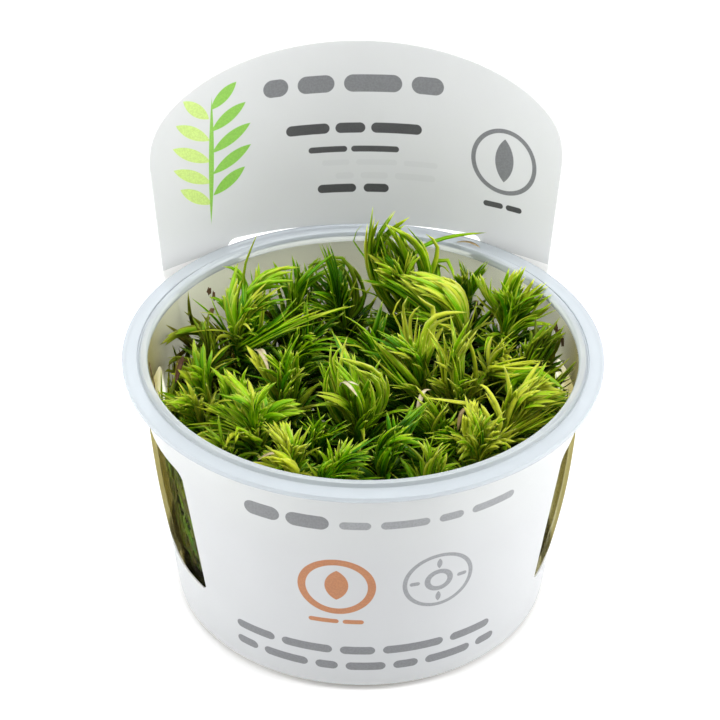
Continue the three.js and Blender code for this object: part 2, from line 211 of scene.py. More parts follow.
class Graph:
    """A material's node tree, with short calls for the nodes that the finishes use."""

    def __init__(self, name: str) -> None:
        """Starts an empty material.

        Args:
            name: the material's name.
        """
        self.material = bpy.data.materials.new(name)
        self.material.use_nodes = True
        self.tree = self.material.node_tree
        self.tree.nodes.clear()

    def node(self, kind: str, *feeds: object, **settings: object) -> Node:
        """Adds a node.

        Args:
            kind: its type's name after "ShaderNode".
            feeds: what goes into its first sockets.
            settings: its properties.

        Returns:
            The node.
        """
        node = self.tree.nodes.new(f"ShaderNode{kind}")
        for key, value in settings.items():
            setattr(node, key, value)
        for socket, value in zip(node.inputs, feeds):
            self.feed(socket, value)
        return node

    def feed(self, socket: NodeSocket, value: object) -> None:
        """Links a socket to another, or sets it to a constant.

        Args:
            socket: the socket to feed.
            value: the other socket, a number or a colour.
        """
        if isinstance(value, NodeSocket):
            self.tree.links.new(value, socket)
        elif socket.type == "RGBA" and len(value) == 3:
            socket.default_value = (*value, 1.0)
        else:
            socket.default_value = value

    def math(self, operation: str, *numbers: object, clamp: bool = False) -> NodeSocket:
        """Adds a sum.

        Args:
            operation: the name of the sum, such as ADD.
            numbers: up to three numbers or sockets.
            clamp: whether the result is held between 0 and 1.

        Returns:
            The result's socket.
        """
        return self.node("Math", *numbers, operation=operation, use_clamp=clamp).outputs[0]

    def scaled(self, a: object, factor: object, clamp: bool = False) -> NodeSocket:
        """Returns one number times another."""
        return self.math("MULTIPLY", a, factor, clamp=clamp)

    def less(self, a: NodeSocket, b: object) -> NodeSocket:
        """Returns one number less another."""
        return self.math("SUBTRACT", a, b)

    def added(self, base: object, share: float, change: NodeSocket, clamp: bool = False) -> NodeSocket:
        """Returns a number with a share of another added to it."""
        return self.math("MULTIPLY_ADD", change, share, base, clamp=clamp)

    def length(self, x: NodeSocket, y: NodeSocket) -> NodeSocket:
        """Returns the length of a flat vector."""
        return self.math("SQRT", self.math("ADD", self.scaled(x, x), self.scaled(y, y)))

    def smallest(self, values: list[NodeSocket]) -> NodeSocket:
        """Finds the least of several numbers.

        Args:
            values: the numbers.

        Returns:
            The least one's socket.
        """
        least = values[0]
        for value in values[1:]:
            least = self.math("MINIMUM", least, value)
        return least

    def mix(self, share: object, a: object, b: object) -> NodeSocket:
        """Mixes two colours.

        Args:
            share: how much of the second shows.
            a: the first colour or socket.
            b: the second.

        Returns:
            The mixed colour's socket.
        """
        node = self.node("Mix", share, data_type="RGBA")
        self.feed(node.inputs[6], a)
        self.feed(node.inputs[7], b)
        return node.outputs[2]

    def mottled(self, value: NodeSocket, colour: Colour, factor: float,
                reach: Span = NOISE) -> NodeSocket:
        """Lets a colour grow darker or lighter as a number rises.

        Args:
            value: the number.
            colour: the colour at its low end.
            factor: how much lighter the colour is at its high end.
            reach: where the low end and the high end are.

        Returns:
            The colour's socket.
        """
        return self.mix(self.span(value, *reach), colour, tuple(factor * part for part in colour))

    def ramp(self, value: NodeSocket, *stops: tuple[float, Colour]) -> NodeSocket:
        """Turns a number into a colour.

        Args:
            value: the number.
            stops: the colours that it runs through and where each stands.

        Returns:
            The colour's socket.
        """
        node = self.node("ValToRGB", value)
        elements = node.color_ramp.elements
        while len(elements) < len(stops):
            elements.new(0.5)
        for element, (place, colour) in zip(elements, stops):
            element.position = place
            element.color = (*colour, 1.0)
        return node.outputs[0]

    def span(self, value: NodeSocket, low: float, high: float, to_low: float = 0.0,
             to_high: float = 1.0) -> NodeSocket:
        """Maps a number from one span onto another, smoothly, and holds it there.

        Args:
            value: the number.
            low: where the first span starts.
            high: where it ends.
            to_low: where the second span starts.
            to_high: where it ends.

        Returns:
            The mapped number's socket.
        """
        numbers = (value, low, high, to_low, to_high)
        return self.node("MapRange", *numbers, interpolation_type="SMOOTHSTEP").outputs[0]

    def noise(self, scale: float, detail: float = 2.0, vector: NodeSocket | None = None) -> NodeSocket:
        """Makes smooth noise, which stays mostly between 0.3 and 0.7.

        Args:
            scale: how many of its lumps fit along 1.
            detail: how many finer layers it has.
            vector: where to read it, or None for the place on the object in metres.

        Returns:
            The noise's socket.
        """
        node = self.node("TexNoise", self.place() if vector is None else vector)
        node.inputs["Scale"].default_value = scale
        node.inputs["Detail"].default_value = detail
        return node.outputs[0]

    def place(self) -> NodeSocket:
        """Returns the place on the object, in metres."""
        return self.node("TexCoord").outputs["Object"]

    def map_of(self, name: str) -> list[NodeSocket]:
        """Returns the two coordinates of a named map on the mesh."""
        return self.node("SeparateXYZ", self.node("UVMap", uv_map=name).outputs[0]).outputs[:2]

    def attribute(self, name: str) -> NodeSocket:
        """Returns a number that is stored on the mesh's corners."""
        return self.node("Attribute", attribute_name=name).outputs["Fac"]

    def bump(self, height: NodeSocket, depth: float, strength: float) -> NodeSocket:
        """Pushes the normal about.

        Args:
            height: what pushes it.
            depth: how deep a height of 1 is, in metres.
            strength: how much of that shows.

        Returns:
            The normal's socket.
        """
        node = self.node("Bump")
        node.inputs["Strength"].default_value = strength
        node.inputs["Distance"].default_value = depth
        self.feed(node.inputs["Height"], height)
        return node.outputs[0]

    def surface(self, **values: object) -> Material:
        """Ends the tree in one shader.

        Args:
            values: its inputs, with a single underscore for each space in their names.

        Returns:
            The finished material.
        """
        shader = self.node("BsdfPrincipled")
        for key, value in values.items():
            self.feed(shader.inputs[key.replace("_", " ")], value)
        self.node("OutputMaterial", shader.outputs[0])
        return self.material


@dataclass(frozen=True)
class ClearPlastic:
    """Thin clear moulded plastic, with faint flow marks and a painted dark olive shade where it is seen
    edge on.
    """

    name: str = "clear_plastic"
    colour: Colour = (0.78, 0.785, 0.64)
    # Painted shade: the dark olive that the wall turns to where it is seen edge on.
    edge: Colour = (0.30, 0.265, 0.10)
    clearness: float = 0.985
    roughness: float = 0.02
    index: float = 1.0015
    edge_on_shade_span: Span = (0.45, 0.85)
    flow_scale: float = 60.0
    flow_shade: float = 0.97
    flow_roughness: Span = (0.8, 1.3)
    flow_depth: float = 0.00003
    flow_strength: float = 0.25

    def material(self) -> Material:
        """Makes the finish.

        Returns:
            Its material.
        """
        graph = Graph(self.name)
        marks = graph.noise(self.flow_scale, 1.0)
        facing = graph.node("LayerWeight").outputs["Facing"]
        colour = graph.mottled(marks, self.colour, self.flow_shade)
        # Painted shade: the colour runs to the dark olive as the wall is seen more nearly edge on.
        colour = graph.mix(graph.span(facing, *self.edge_on_shade_span), colour, self.edge)
        rough = graph.span(marks, *NOISE, *(self.roughness * share for share in self.flow_roughness))
        return graph.surface(Base_Color=colour, Roughness=rough, Transmission_Weight=self.clearness,
                             IOR=self.index, Normal=graph.bump(marks, self.flow_depth, self.flow_strength))


@dataclass(frozen=True)
class Bar:
    """A row of rounded bars: its middle height, its thickness and where each bar starts and ends."""

    height: float
    thickness: float
    spans: tuple[Flat, ...]

    def distance(self, graph: Graph, u: NodeSocket, v: NodeSocket) -> NodeSocket:
        """Measures how far a place on the sheet lies outside the bars.

        Args:
            graph: the node tree.
            u: the place across the sheet.
            v: the place up the sheet.

        Returns:
            The distance's socket, below 0 inside.
        """
        radius = self.thickness / 2
        ends = [graph.less(graph.math("ABSOLUTE", graph.less(u, (a + b) / 2)), (b - a) / 2 - radius)
                for a, b in self.spans]
        along = graph.math("MAXIMUM", graph.smallest(ends), 0.0)
        return graph.less(graph.length(along, graph.less(v, self.height)), radius)


@dataclass(frozen=True)
class Ring:
    """A drawn circle: its centre, its radius and its line's thickness."""

    centre: Flat
    radius: float
    line: float

    def distance(self, graph: Graph, u: NodeSocket, v: NodeSocket) -> NodeSocket:
        """Measures how far a place on the sheet lies outside the line.

        Args:
            graph: the node tree.
            u: the place across the sheet.
            v: the place up the sheet.

        Returns:
            The distance's socket, below 0 inside.
        """
        out = graph.length(graph.less(u, self.centre[0]), graph.less(v, self.centre[1]))
        return graph.less(graph.math("ABSOLUTE", graph.less(out, self.radius)), self.line / 2)


@dataclass(frozen=True)
class Petal:
    """A pointed leaf shape: its two points and its width."""

    start: Flat
    end: Flat
    width: float

    def distance(self, graph: Graph, u: NodeSocket, v: NodeSocket) -> NodeSocket:
        """Measures how far a place on the sheet lies outside the shape.

        Args:
            graph: the node tree.
            u: the place across the sheet.
            v: the place up the sheet.

        Returns:
            The distance's socket, below 0 inside.
        """
        start, end = Vector(self.start), Vector(self.end)
        half = (end - start).length / 2
        radius = (half**2 + (self.width / 2) ** 2) / self.width
        middle = (start + end) / 2
        aside = (end - start).orthogonal().normalized() * (radius - self.width / 2)
        centres = (middle + aside, middle - aside)
        rounds = [graph.length(graph.less(u, c.x), graph.less(v, c.y)) for c in centres]
        return graph.less(graph.math("MAXIMUM", *rounds), radius)


@dataclass(frozen=True)
class Print:
    """One ink and the shapes printed in it, in millimetres on the sheet."""

    ink: Colour
    shapes: tuple[Bar | Ring | Petal, ...]
    strength: float = 1.0


@dataclass(frozen=True)
class PrintedSheet:
    """A thin white plastic sheet, with what is printed on one side of it, and a white of its own on each
    part as painted light and shade.
    """

    name: str
    # Painted light and shade: each part of the sleeve gets its own white, lighter or darker by the light
    # that falls there.
    white: Colour = (0.57, 0.585, 0.600)
    prints: tuple[Print, ...] = ()
    edge_softness: float = 0.12
    reach: Span = (0.35, 0.65)
    cloud_scale: float = 35.0
    cloud_shade: float = 0.975
    grain_scale: float = 2500.0
    grain_shade: float = 1.15
    grain_depth: float = 0.00001
    grain_strength: float = 0.4
    roughness: Span = (0.36, 0.44)
    scatter: float = 0.8
    scatter_depth: float = 0.0016

    def material(self) -> Material:
        """Makes the finish.

        Returns:
            Its material.
        """
        graph = Graph(self.name)
        grain = graph.noise(self.grain_scale)
        colour = graph.mottled(graph.noise(self.cloud_scale), self.white, self.cloud_shade, self.reach)
        u, v = graph.map_of("print") if self.prints else (None, None)
        for layer in self.prints:
            far = graph.smallest([shape.distance(graph, u, v) for shape in layer.shapes])
            mask = graph.scaled(graph.span(far, self.edge_softness, 0.0), layer.strength)
            ink = graph.mottled(grain, layer.ink, self.grain_shade, self.reach)
            colour = graph.mix(mask, colour, ink)
        rough = graph.span(grain, *NOISE, *self.roughness)
        return graph.surface(Base_Color=colour, Roughness=rough, Specular_IOR_Level=0.45,
                             Subsurface_Weight=self.scatter, Subsurface_Radius=(1.0, 1.0, 1.0),
                             Subsurface_Scale=self.scatter_depth,
                             Normal=graph.bump(grain, self.grain_depth, self.grain_strength))


@dataclass(frozen=True)
class GrowthGel:
    """Cloudy growth gel with darker bits of root in it."""

    name: str = "growth_gel"
    colour: Colour = (0.34, 0.31, 0.08)
    dark: Colour = (0.12, 0.105, 0.020)
    bit_scale: float = 240.0
    bit_reach: Span = (0.42, 0.62)
    bit_depth: float = 0.0006
    scatter_depth: float = 0.003

    def material(self) -> Material:
        """Makes the finish.

        Returns:
            Its material.
        """
        graph = Graph(self.name)
        bits = graph.noise(self.bit_scale, 4.0)
        colour = graph.mix(graph.span(bits, *self.bit_reach), self.dark, self.colour)
        return graph.surface(Base_Color=colour, Roughness=0.7, Specular_IOR_Level=0.05,
                             Subsurface_Weight=0.2, Subsurface_Scale=self.scatter_depth,
                             Normal=graph.bump(bits, self.bit_depth, 0.6))


@dataclass(frozen=True)
class LeafTissue:
    """Moist thin leaves, coloured by each leaf's own tone and age and by the place on its blade."""

    name: str
    shade: Colour = (0.012, 0.052, 0.001)
    mid: Colour = (0.058, 0.285, 0.001)
    bright: Colour = (0.280, 0.610, 0.002)
    yellow: Colour = (0.620, 0.700, 0.040)
    olive: Colour = (0.200, 0.175, 0.012)
    brown: Colour = (0.120, 0.060, 0.014)
    pale: Colour = (0.500, 0.620, 0.180)
    stops: tuple[float, ...] = (0.0, 0.40, 0.74, 1.0)
    shaded_heights: Span = (0.036, 0.053)
    shaded_radii: Span = (0.039, 0.034)
    deepest: float = 0.75
    streak_scales: Point = (9.0, 1.6, 57.0)
    streak_lift: float = 0.6
    streak_depth: float = 0.00012
    blotch_scale: float = 420.0
    blotch_lift: float = 0.4
    edge: Span = (0.70, 1.0)
    edge_lift: float = 0.24
    rib: Span = (0.16, 0.0)
    rib_lift: float = 0.14
    upper_half: Span = (0.45, 1.0)
    upper_lift: float = 0.20
    tip: Span = (0.88, 1.0)
    tip_share: float = 0.5
    foot: Span = (0.18, 0.0)
    foot_share: float = 0.15
    old_streaks: Span = (0.4, 0.62)
    old_reach: Span = (0.55, 1.0)
    roughness: Span = (0.26, 0.42)
    scatter: float = 0.35
    scatter_colour: Colour = (0.8, 1.0, 0.15)
    scatter_depth: float = 0.0012

    def lift(self, graph: Graph, blade: list[NodeSocket], tone: NodeSocket, streak: NodeSocket,
             blotch: NodeSocket) -> NodeSocket:
        """Works out how light a place on a leaf is.

        Args:
            graph: the node tree.
            blade: the place across the blade and along it.
            tone: the leaf's tone.
            streak: the noise that runs along the blade.
            blotch: the noise in space.

        Returns:
            The lightness's socket, from 0 to 1.
        """
        across, along = blade
        lift = graph.added(tone, self.streak_lift, graph.less(streak, 0.5))
        lift = graph.added(lift, self.blotch_lift, graph.less(blotch, 0.5))
        aside = graph.scaled(graph.math("ABSOLUTE", graph.less(across, 0.5)), 2.0)
        lift = graph.added(lift, self.edge_lift, graph.span(aside, *self.edge))
        lift = graph.added(lift, self.rib_lift, graph.span(aside, *self.rib))
        return graph.added(lift, self.upper_lift, graph.span(along, *self.upper_half), clamp=True)

    def sunk(self, graph: Graph) -> NodeSocket:
        """Works out how far a place lies in the shade of the other shoots.

        Args:
            graph: the node tree.

        Returns:
            The share's socket: high deep in the cup, unless the place is next to the clear wall.
        """
        x, y, z = graph.node("SeparateXYZ", graph.place()).outputs
        down = graph.span(z, *self.shaded_heights, self.deepest, 0.0)
        return graph.scaled(down, graph.span(graph.length(x, y), *self.shaded_radii))

    def material(self) -> Material:
        """Makes the finish.

        Returns:
            Its material.
        """
        graph = Graph(self.name)
        blade = across, along = graph.map_of("blade")
        tone, age = graph.attribute("tone"), graph.attribute("age")
        lines = [graph.scaled(a, b) for a, b in zip((across, along, tone), self.streak_scales)]
        streak = graph.noise(1.0, 2.0, graph.node("CombineXYZ", *lines).outputs[0])
        blotch = graph.noise(self.blotch_scale)
        colours = (self.shade, self.mid, self.bright, self.yellow)
        colour = graph.ramp(self.lift(graph, blade, tone, streak, blotch), *zip(self.stops, colours))
        for reach, share, tint in ((self.tip, self.tip_share, self.yellow),
                                   (self.foot, self.foot_share, self.pale)):
            colour = graph.mix(graph.scaled(graph.span(along, *reach), share), colour, tint)
        old = graph.mix(graph.span(streak, *self.old_streaks), self.brown, self.olive)
        worn = graph.span(graph.math("ADD", blotch, age), *self.old_reach)
        colour = graph.mix(graph.scaled(age, worn, clamp=True), colour, old)
        colour = graph.mix(self.sunk(graph), colour, self.shade)
        rough = graph.span(streak, *NOISE, *self.roughness)
        return graph.surface(Base_Color=colour, Roughness=rough, Specular_IOR_Level=0.20,
                             Subsurface_Weight=self.scatter, Subsurface_Radius=self.scatter_colour,
                             Subsurface_Scale=self.scatter_depth,
                             Normal=graph.bump(streak, self.streak_depth, 0.6))


@dataclass(frozen=True)
class DeadTissue:
    """Dried scraps and stains, from dark brown to pale straw by each one's own tone."""

    name: str = "dead_tissue"
    brown: Colour = (0.090, 0.035, 0.016)
    tan: Colour = (0.420, 0.290, 0.130)
    straw: Colour = (0.720, 0.700, 0.500)
    stops: tuple[float, ...] = (0.0, 0.55, 1.0)
    blotch_scale: float = 900.0
    blotch_lift: float = 0.6
    blotch_depth: float = 0.0001

    def material(self) -> Material:
        """Makes the finish.

        Returns:
            Its material.
        """
        graph = Graph(self.name)
        blotch = graph.noise(self.blotch_scale, 3.0)
        lift = graph.added(graph.attribute("tone"), self.blotch_lift, graph.less(blotch, 0.5), clamp=True)
        colour = graph.ramp(lift, *zip(self.stops, (self.brown, self.tan, self.straw)))
        return graph.surface(Base_Color=colour, Roughness=0.55, Specular_IOR_Level=0.3,
                             Normal=graph.bump(blotch, self.blotch_depth, 0.6))


@dataclass(frozen=True)
class PaleFloor:
    """A plain pale studio floor."""

    name: str = "pale_floor"
    colour: Colour = (0.93, 0.93, 0.93)
    glow: float = 0.22
    cloud_scale: float = 3.0
    cloud_shade: float = 0.99

    def material(self) -> Material:
        """Makes the finish.

        Returns:
            Its material.
        """
        graph = Graph(self.name)
        colour = graph.mottled(graph.noise(self.cloud_scale, 1.0), self.colour, self.cloud_shade)
        return graph.surface(Base_Color=colour, Roughness=0.7, Specular_IOR_Level=0.1,
                             Emission_Color=(1.0, 1.0, 1.0), Emission_Strength=self.glow)


# The cup


class Side(Enum):
    """Where a window stands, by the sign of X."""

    LEFT = -1
    RIGHT = 1


@dataclass(frozen=True)
class Opening:
    """A window of the sleeve, in millimetres: its reach along Y and Z and how far the wall bellies out."""

    side: Side
    front: float
    bottom: float
    belly: float
    rear: float = 14.0
    top: float = 46.0


@dataclass
class Cup:
    """The clear flanged cup, in millimetres, with its height and flange radius taken from the frame."""

    height: float
    flange_radius: float
    foot_radius: float = 39.66
    wall_slope: float = 0.10987
    wall: float = 1.0
    flange_top: float = 58.4
    flange_under: float = 57.7
    lip: float = 0.8
    lip_bottom: float = 57.2
    bead_outer: float = 46.5
    bead_inner: float = 44.7
    bead_step: float = 0.35
    foot_edge: float = 0.6
    facets: int = 144
    ring_start: float = 12.0
    ring_step: float = 2.0
    ring_count: int = 19
    fold: float = 28.0
    rounding: float = 0.16
    round_facets: int = 3
    rim_depth: float = 0.6
    flush: float = 0.65
    flush_from: float = 0.4
    flush_to: float = 3.0

    @classmethod
    def from_frame(cls) -> "Cup":
        """Returns the cup with the frame's height and flange radius."""
        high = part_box("cup")[1]
        return cls(height=high.z / MM, flange_radius=high.x / MM)

    def outer(self, z: float) -> float:
        """Returns the wall's outer radius at a height."""
        return self.foot_radius + self.wall_slope * z

    def inner(self, z: float) -> float:
        """Returns the wall's inner radius at a height."""
        return self.outer(z) - self.wall

    def keep_inside(self, point: Vector, room: float) -> Vector:
        """Pulls a point in from the wall.

        Args:
            point: the point, which stays as it is.
            room: how far off the wall it has to be.

        Returns:
            The point pulled in.
        """
        if point.z < self.height:
            reach = min(self.inner(point.z), self.bead_inner) - room
            radius = math.hypot(point.x, point.y)
            if radius > reach:
                return Vector((point.x * (reach / radius), point.y * (reach / radius), point.z))
        return point

    def profile(self) -> list[Flat]:
        """Draws the wall's profile, from the middle of the foot round to the inside floor.

        Returns:
            Its corners, each a radius and a height.
        """
        step = self.bead_step
        rings = [self.ring_start + self.ring_step * i for i in range(self.ring_count)]
        return [
            (0, 0),
            (self.foot_radius - self.foot_edge, 0),
            (self.outer(self.foot_edge), self.foot_edge),
            *((self.outer(z), z) for z in rings),
            (self.outer(self.flange_under), self.flange_under),
            (self.flange_radius - self.lip, self.flange_under),
            (self.flange_radius - self.lip, self.lip_bottom),
            (self.flange_radius, self.lip_bottom),
            (self.flange_radius, self.flange_top),
            (self.bead_outer + step, self.flange_top),
            (self.bead_outer + step, self.flange_top - step),
            (self.bead_outer, self.flange_top - step),
            (self.bead_outer - step, self.height),
            (self.bead_inner + step, self.height),
            (self.bead_inner, self.flange_top),
            (self.bead_inner, self.lip_bottom),
            (self.inner(self.lip_bottom - step), self.lip_bottom - step),
            *((self.inner(z), z) for z in reversed(rings)),
            (self.inner(self.wall + self.foot_edge), self.wall + self.foot_edge),
            (self.inner(self.wall) - self.foot_edge, self.wall),
            (0, self.wall),
        ]

    def press_out(self, bm: BMesh, opening: Opening) -> None:
        """Lets the wall belly out a little through one of the sleeve's windows.

        Args:
            bm: the cup's mesh.
            opening: the window.
        """
        for vert in bm.verts:
            x, y, z = vert.co
            inwards = min(y - opening.front, opening.rear - y, z - opening.bottom, opening.top - z)
            if x * opening.side.value > 0 and inwards > 0:
                share = math.sin(math.pi * (z - opening.bottom) / (opening.top - opening.bottom))
                push = self.flush + opening.belly * share
                vert.co *= 1 + smoothstep(inwards, self.flush_from, self.flush_to) * push / math.hypot(x, y)
                vert.co.z = z

    def build(self, plastic: Material, rim_plastic: Material, openings: Iterable[Opening]) -> None:
        """Makes the cup.

        Args:
            plastic: the finish of the wall and the foot, with painted shade where they are seen edge on.
            rim_plastic: the finish of the flange and its bead.
            openings: the sleeve's windows.
        """
        bm = spin_profile(self.profile(), self.facets)
        for opening in openings:
            self.press_out(bm, opening)
        bmesh.ops.bevel(bm, geom=sharp_edges(bm, self.fold), offset=self.rounding,
                        offset_type="OFFSET", segments=self.round_facets, profile=0.5,
                        affect="EDGES", clamp_overlap=True, material=-1)
        for face in bm.faces:
            face.material_index = int(face.calc_center_median().z > self.lip_bottom - self.rim_depth)
        piece = finished(bm, "cup_body", plastic, rim_plastic)
        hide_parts("cup")


# The printed sleeve


@dataclass
class Sleeve:
    """The die-cut sheet round the cup, in millimetres: cut flat, then bent round."""

    cup: Cup
    bottom: float
    gap: float = 0.3
    sheet: float = 0.4
    band_top: float = 56.9
    tongue_y: float = 48.3
    tongue_curve: float = 70.0
    tongue_lean: float = 0.1104
    flare_start: float = 44.0
    flare_side: float = 53.0
    flare_end: float = 58.0
    half_width: float = 44.6
    rim_half_width: float = 42.8
    shoulder: float = 82.3
    side_steps: int = 8
    arch: float = 20.4
    arch_power: float = 2.65
    arch_steps: int = 48
    slot_half_length: float = 28.5
    slot_half_height: float = 2.0
    slot_height: float = 57.3
    slot_steps: int = 8
    openings: tuple[Opening, ...] = (Opening(Side.LEFT, -25.4, 14.7, 0.45),
                                     Opening(Side.RIGHT, -21.9, 12.6, 0.80))
    window_corner: float = 2.2
    window_steps: int = 6
    window_tip: float = 1.2
    seam: float = 64.5
    column_step: float = 3.0
    flare_rows: int = 8
    tongue_rows: tuple[float, ...] = (62, 67, 72, 77, 82, 86, 89, 92, 95, 97, 99, 101)
    band_rows: tuple[float, ...] = (8, 15, 22, 29, 36)
    crease: float = 40.0
    join: float = 1e-4
    weld: float = 1e-3

    def cone(self, z: float) -> float:
        """Returns the sheet's outer radius where it lies on the cup's wall."""
        return self.cup.outer(z) + self.gap + self.sheet

    def tongue_centre(self, z: float) -> float:
        """Returns how far back the middle of the tongue's curve lies at a height."""
        return self.tongue_y + self.tongue_lean * (z - self.cup.height) - self.tongue_curve

    def radius(self, angle: float, z: float) -> float:
        """Works out the sheet's outer radius.

        Args:
            angle: the angle from the back, in radians.
            z: the height.

        Returns:
            The radius there, on the band, the flare or the tongue.
        """
        cone, centre = self.cone(z), self.tongue_centre(z)
        across = centre * math.sin(angle)
        tongue = centre * math.cos(angle) + math.sqrt(self.tongue_curve**2 - across**2)
        share = smoothstep(z, self.flare_start, self.band_top)
        if z <= self.band_top + self.gap / 2:
            share *= 1 - smoothstep(math.degrees(abs(wrapped(angle))), self.flare_side, self.flare_end)
        return cone + (tongue - cone) * share

    def angle_at(self, x: float, z: float) -> float:
        """Returns the angle from the back, in degrees, of the tongue's place at x and z."""
        return math.degrees(math.atan2(x, self.tongue_centre(z) + math.sqrt(self.tongue_curve**2 - x**2)))

    def tongue_outline(self) -> list[Flat]:
        """Draws the tongue's edge, from its right foot round.

        Returns:
            Its corners, each an angle in degrees and a height.
        """
        sides = []
        for i in range(self.side_steps):
            share = i / self.side_steps
            z = self.band_top + (self.shoulder - self.band_top) * share
            half = self.rim_half_width + (self.half_width - self.rim_half_width) * share
            sides.append((self.angle_at(half, z), z))
        arch = []
        for i in range(self.arch_steps + 1):
            x = self.half_width * math.cos(math.pi * i / self.arch_steps)
            part = max(1 - (x / self.half_width) ** 2, 0.0)
            z = self.shoulder + self.arch * part ** (1 / self.arch_power)
            arch.append((360 + self.angle_at(x, z), z))
        right = [(360 + angle, z) for angle, z in sides]
        left = [(360 - angle, z) for angle, z in reversed(sides)]
        return right + arch + left

    def slot_outline(self) -> list[Flat]:
        """Draws the edge of the slot that the flange pokes through.

        Returns:
            Its corners, each an angle in degrees and a height.
        """
        straight = self.slot_half_length - self.slot_half_height
        points = []
        for side in (1, -1):
            for i in range(self.slot_steps + 1):
                turn = math.pi * (0.5 - i / self.slot_steps)
                x = side * (straight + self.slot_half_height * math.cos(turn))
                z = self.slot_height + self.slot_half_height * math.sin(turn) * side
                points.append((360 + self.angle_at(x, z), z))
        return points

    def window_outline(self, opening: Opening) -> list[Flat]:
        """Draws a window's edge.

        Args:
            opening: the window.

        Returns:
            Its corners, each an angle in degrees and a height.
        """
        corner = self.window_corner
        rear, high = opening.rear - corner, opening.top - corner
        points = [(opening.front, opening.bottom + self.window_tip)]
        for y, z, start in ((opening.front + corner, high, 180), (rear, high, 90),
                            (rear, opening.bottom + corner, 0)):
            for i in range(self.window_steps + 1):
                turn = math.radians(start - 90 * i / self.window_steps)
                points.append((y + corner * math.cos(turn), z + corner * math.sin(turn)))
        points.append((opening.front + self.window_tip, opening.bottom))
        angles = [math.degrees(math.acos(y / self.cone(z))) for y, z in points]
        if opening.side is Side.LEFT:
            angles = [360 - angle for angle in angles]
        return [(angle, z) for angle, (_, z) in zip(angles, points)]

    def cut_hole(self, bm: BMesh, outline: list[Flat]) -> None:
        """Cuts a hole without inward corners out of the flat blank, one straight cut after another.

        Args:
            bm: the blank.
            outline: the hole's corners.
        """
        corners = [Vector((x, y, 0)) for x, y in outline]
        middle = sum(corners, Vector()) / len(corners)
        low = [min(corner[i] for corner in corners) for i in (0, 1)]
        high = [max(corner[i] for corner in corners) for i in (0, 1)]
        inside = [f for f in bm.faces if all(min(v.co[i] for v in f.verts) < high[i]
                                             and max(v.co[i] for v in f.verts) > low[i] for i in (0, 1))]
        for a, b in zip(corners, corners[1:] + corners[:1]):
            away = (b - a).cross(UP).normalized()
            away = away if away.dot(a - middle) > 0 else -away
            edges, verts = {e for f in inside for e in f.edges}, {v for f in inside for v in f.verts}
            cut = bmesh.ops.bisect_plane(bm, geom=[*inside, *edges, *verts], dist=self.join,
                                         plane_co=a, plane_no=away)
            inside = [f for f in of_kind(cut["geom"], BMFace) if (f.calc_center_median() - a).dot(away) < 0]
        bmesh.ops.delete(bm, geom=inside, context="FACES")

    def flat_blank(self) -> BMesh:
        """Cuts the sheet before it is bent, with fine columns and rows.

        Returns:
            The blank: angles in degrees along X and heights along Y.
        """
        bm = bmesh.new()
        tongue = [bm.verts.new((x, y, 0)) for x, y in self.tongue_outline()]
        left, right = self.seam, self.seam + 360
        band = [bm.verts.new((x, y, 0)) for x, y in ((left, self.band_top), (left, self.bottom),
                                                     (right, self.bottom), (right, self.band_top))]
        bm.faces.new(tongue)
        bm.faces.new([*band, tongue[0], tongue[-1]])
        flare = (self.band_top - self.flare_start) / self.flare_rows
        rows = [*(self.flare_start + flare * i for i in range(self.flare_rows)), self.band_top + self.gap,
                *self.tongue_rows, *self.band_rows]
        columns = [self.seam + self.column_step * i for i in range(1, round(360 / self.column_step))]
        cuts = [((x, 0, 0), (1, 0, 0)) for x in columns] + [((0, y, 0), (0, 1, 0)) for y in rows]
        for place, normal in cuts:
            bmesh.ops.bisect_plane(bm, geom=bm.verts[:] + bm.edges[:] + bm.faces[:], dist=self.join,
                                   plane_co=place, plane_no=normal)
        for outline in (self.slot_outline(), *map(self.window_outline, self.openings)):
            self.cut_hole(bm, outline)
        slanted = [e for e in bm.edges if len(e.link_faces) == 2
                   and all(abs(e.verts[0].co[i] - e.verts[1].co[i]) > self.weld for i in (0, 1))]
        bmesh.ops.dissolve_edges(bm, edges=slanted, use_verts=False, use_face_split=False)
        return bm

    def bend(self, bm: BMesh) -> None:
        """Bends the flat blank round the cup and gives it its thickness.

        Args:
            bm: the blank.
        """
        for vert in bm.verts:
            angle, z = math.radians(vert.co.x), vert.co.y
            vert.co = round_cup(self.radius(angle, z), angle, z)
        bmesh.ops.remove_doubles(bm, verts=bm.verts[:], dist=self.weld)
        bmesh.ops.recalc_face_normals(bm, faces=bm.faces[:])
        first = bm.faces[:][0]
        if first.normal.dot(first.calc_center_median() * Vector((1, 1, 0))) < 0:
            bmesh.ops.reverse_faces(bm, faces=bm.faces[:])
        top = max(vert.co.z for vert in bm.verts)
        bmesh.ops.solidify(bm, geom=bm.faces[:], thickness=self.sheet)
        for vert in bm.verts:
            vert.co.z = min(vert.co.z, top)

    def mark_print(self, bm: BMesh) -> None:
        """Gives each face its finish and its place in the print, in millimetres.

        Args:
            bm: the bent sheet.
        """
        layer = bm.loops.layers.uv.new("print")
        for face in bm.faces:
            middle = face.calc_center_median()
            facing = face.normal.dot(Vector((middle.x, middle.y, 0)).normalized())
            on_tongue = middle.z > self.band_top
            if on_tongue and facing < -0.5:
                face.material_index = 2
            elif facing > 0.5:
                face.material_index = 3 if on_tongue else 1
            turn = math.atan2(middle.x, -middle.y)
            for loop in face.loops:
                x, y, z = loop.vert.co
                if on_tongue:
                    arc = self.tongue_curve * math.asin(x / self.tongue_curve)
                    loop[layer].uv = (arc, z - self.cup.height)
                else:
                    angle = turn + wrapped(math.atan2(x, -y) - turn)
                    loop[layer].uv = (angle * self.cup.outer(z), z)

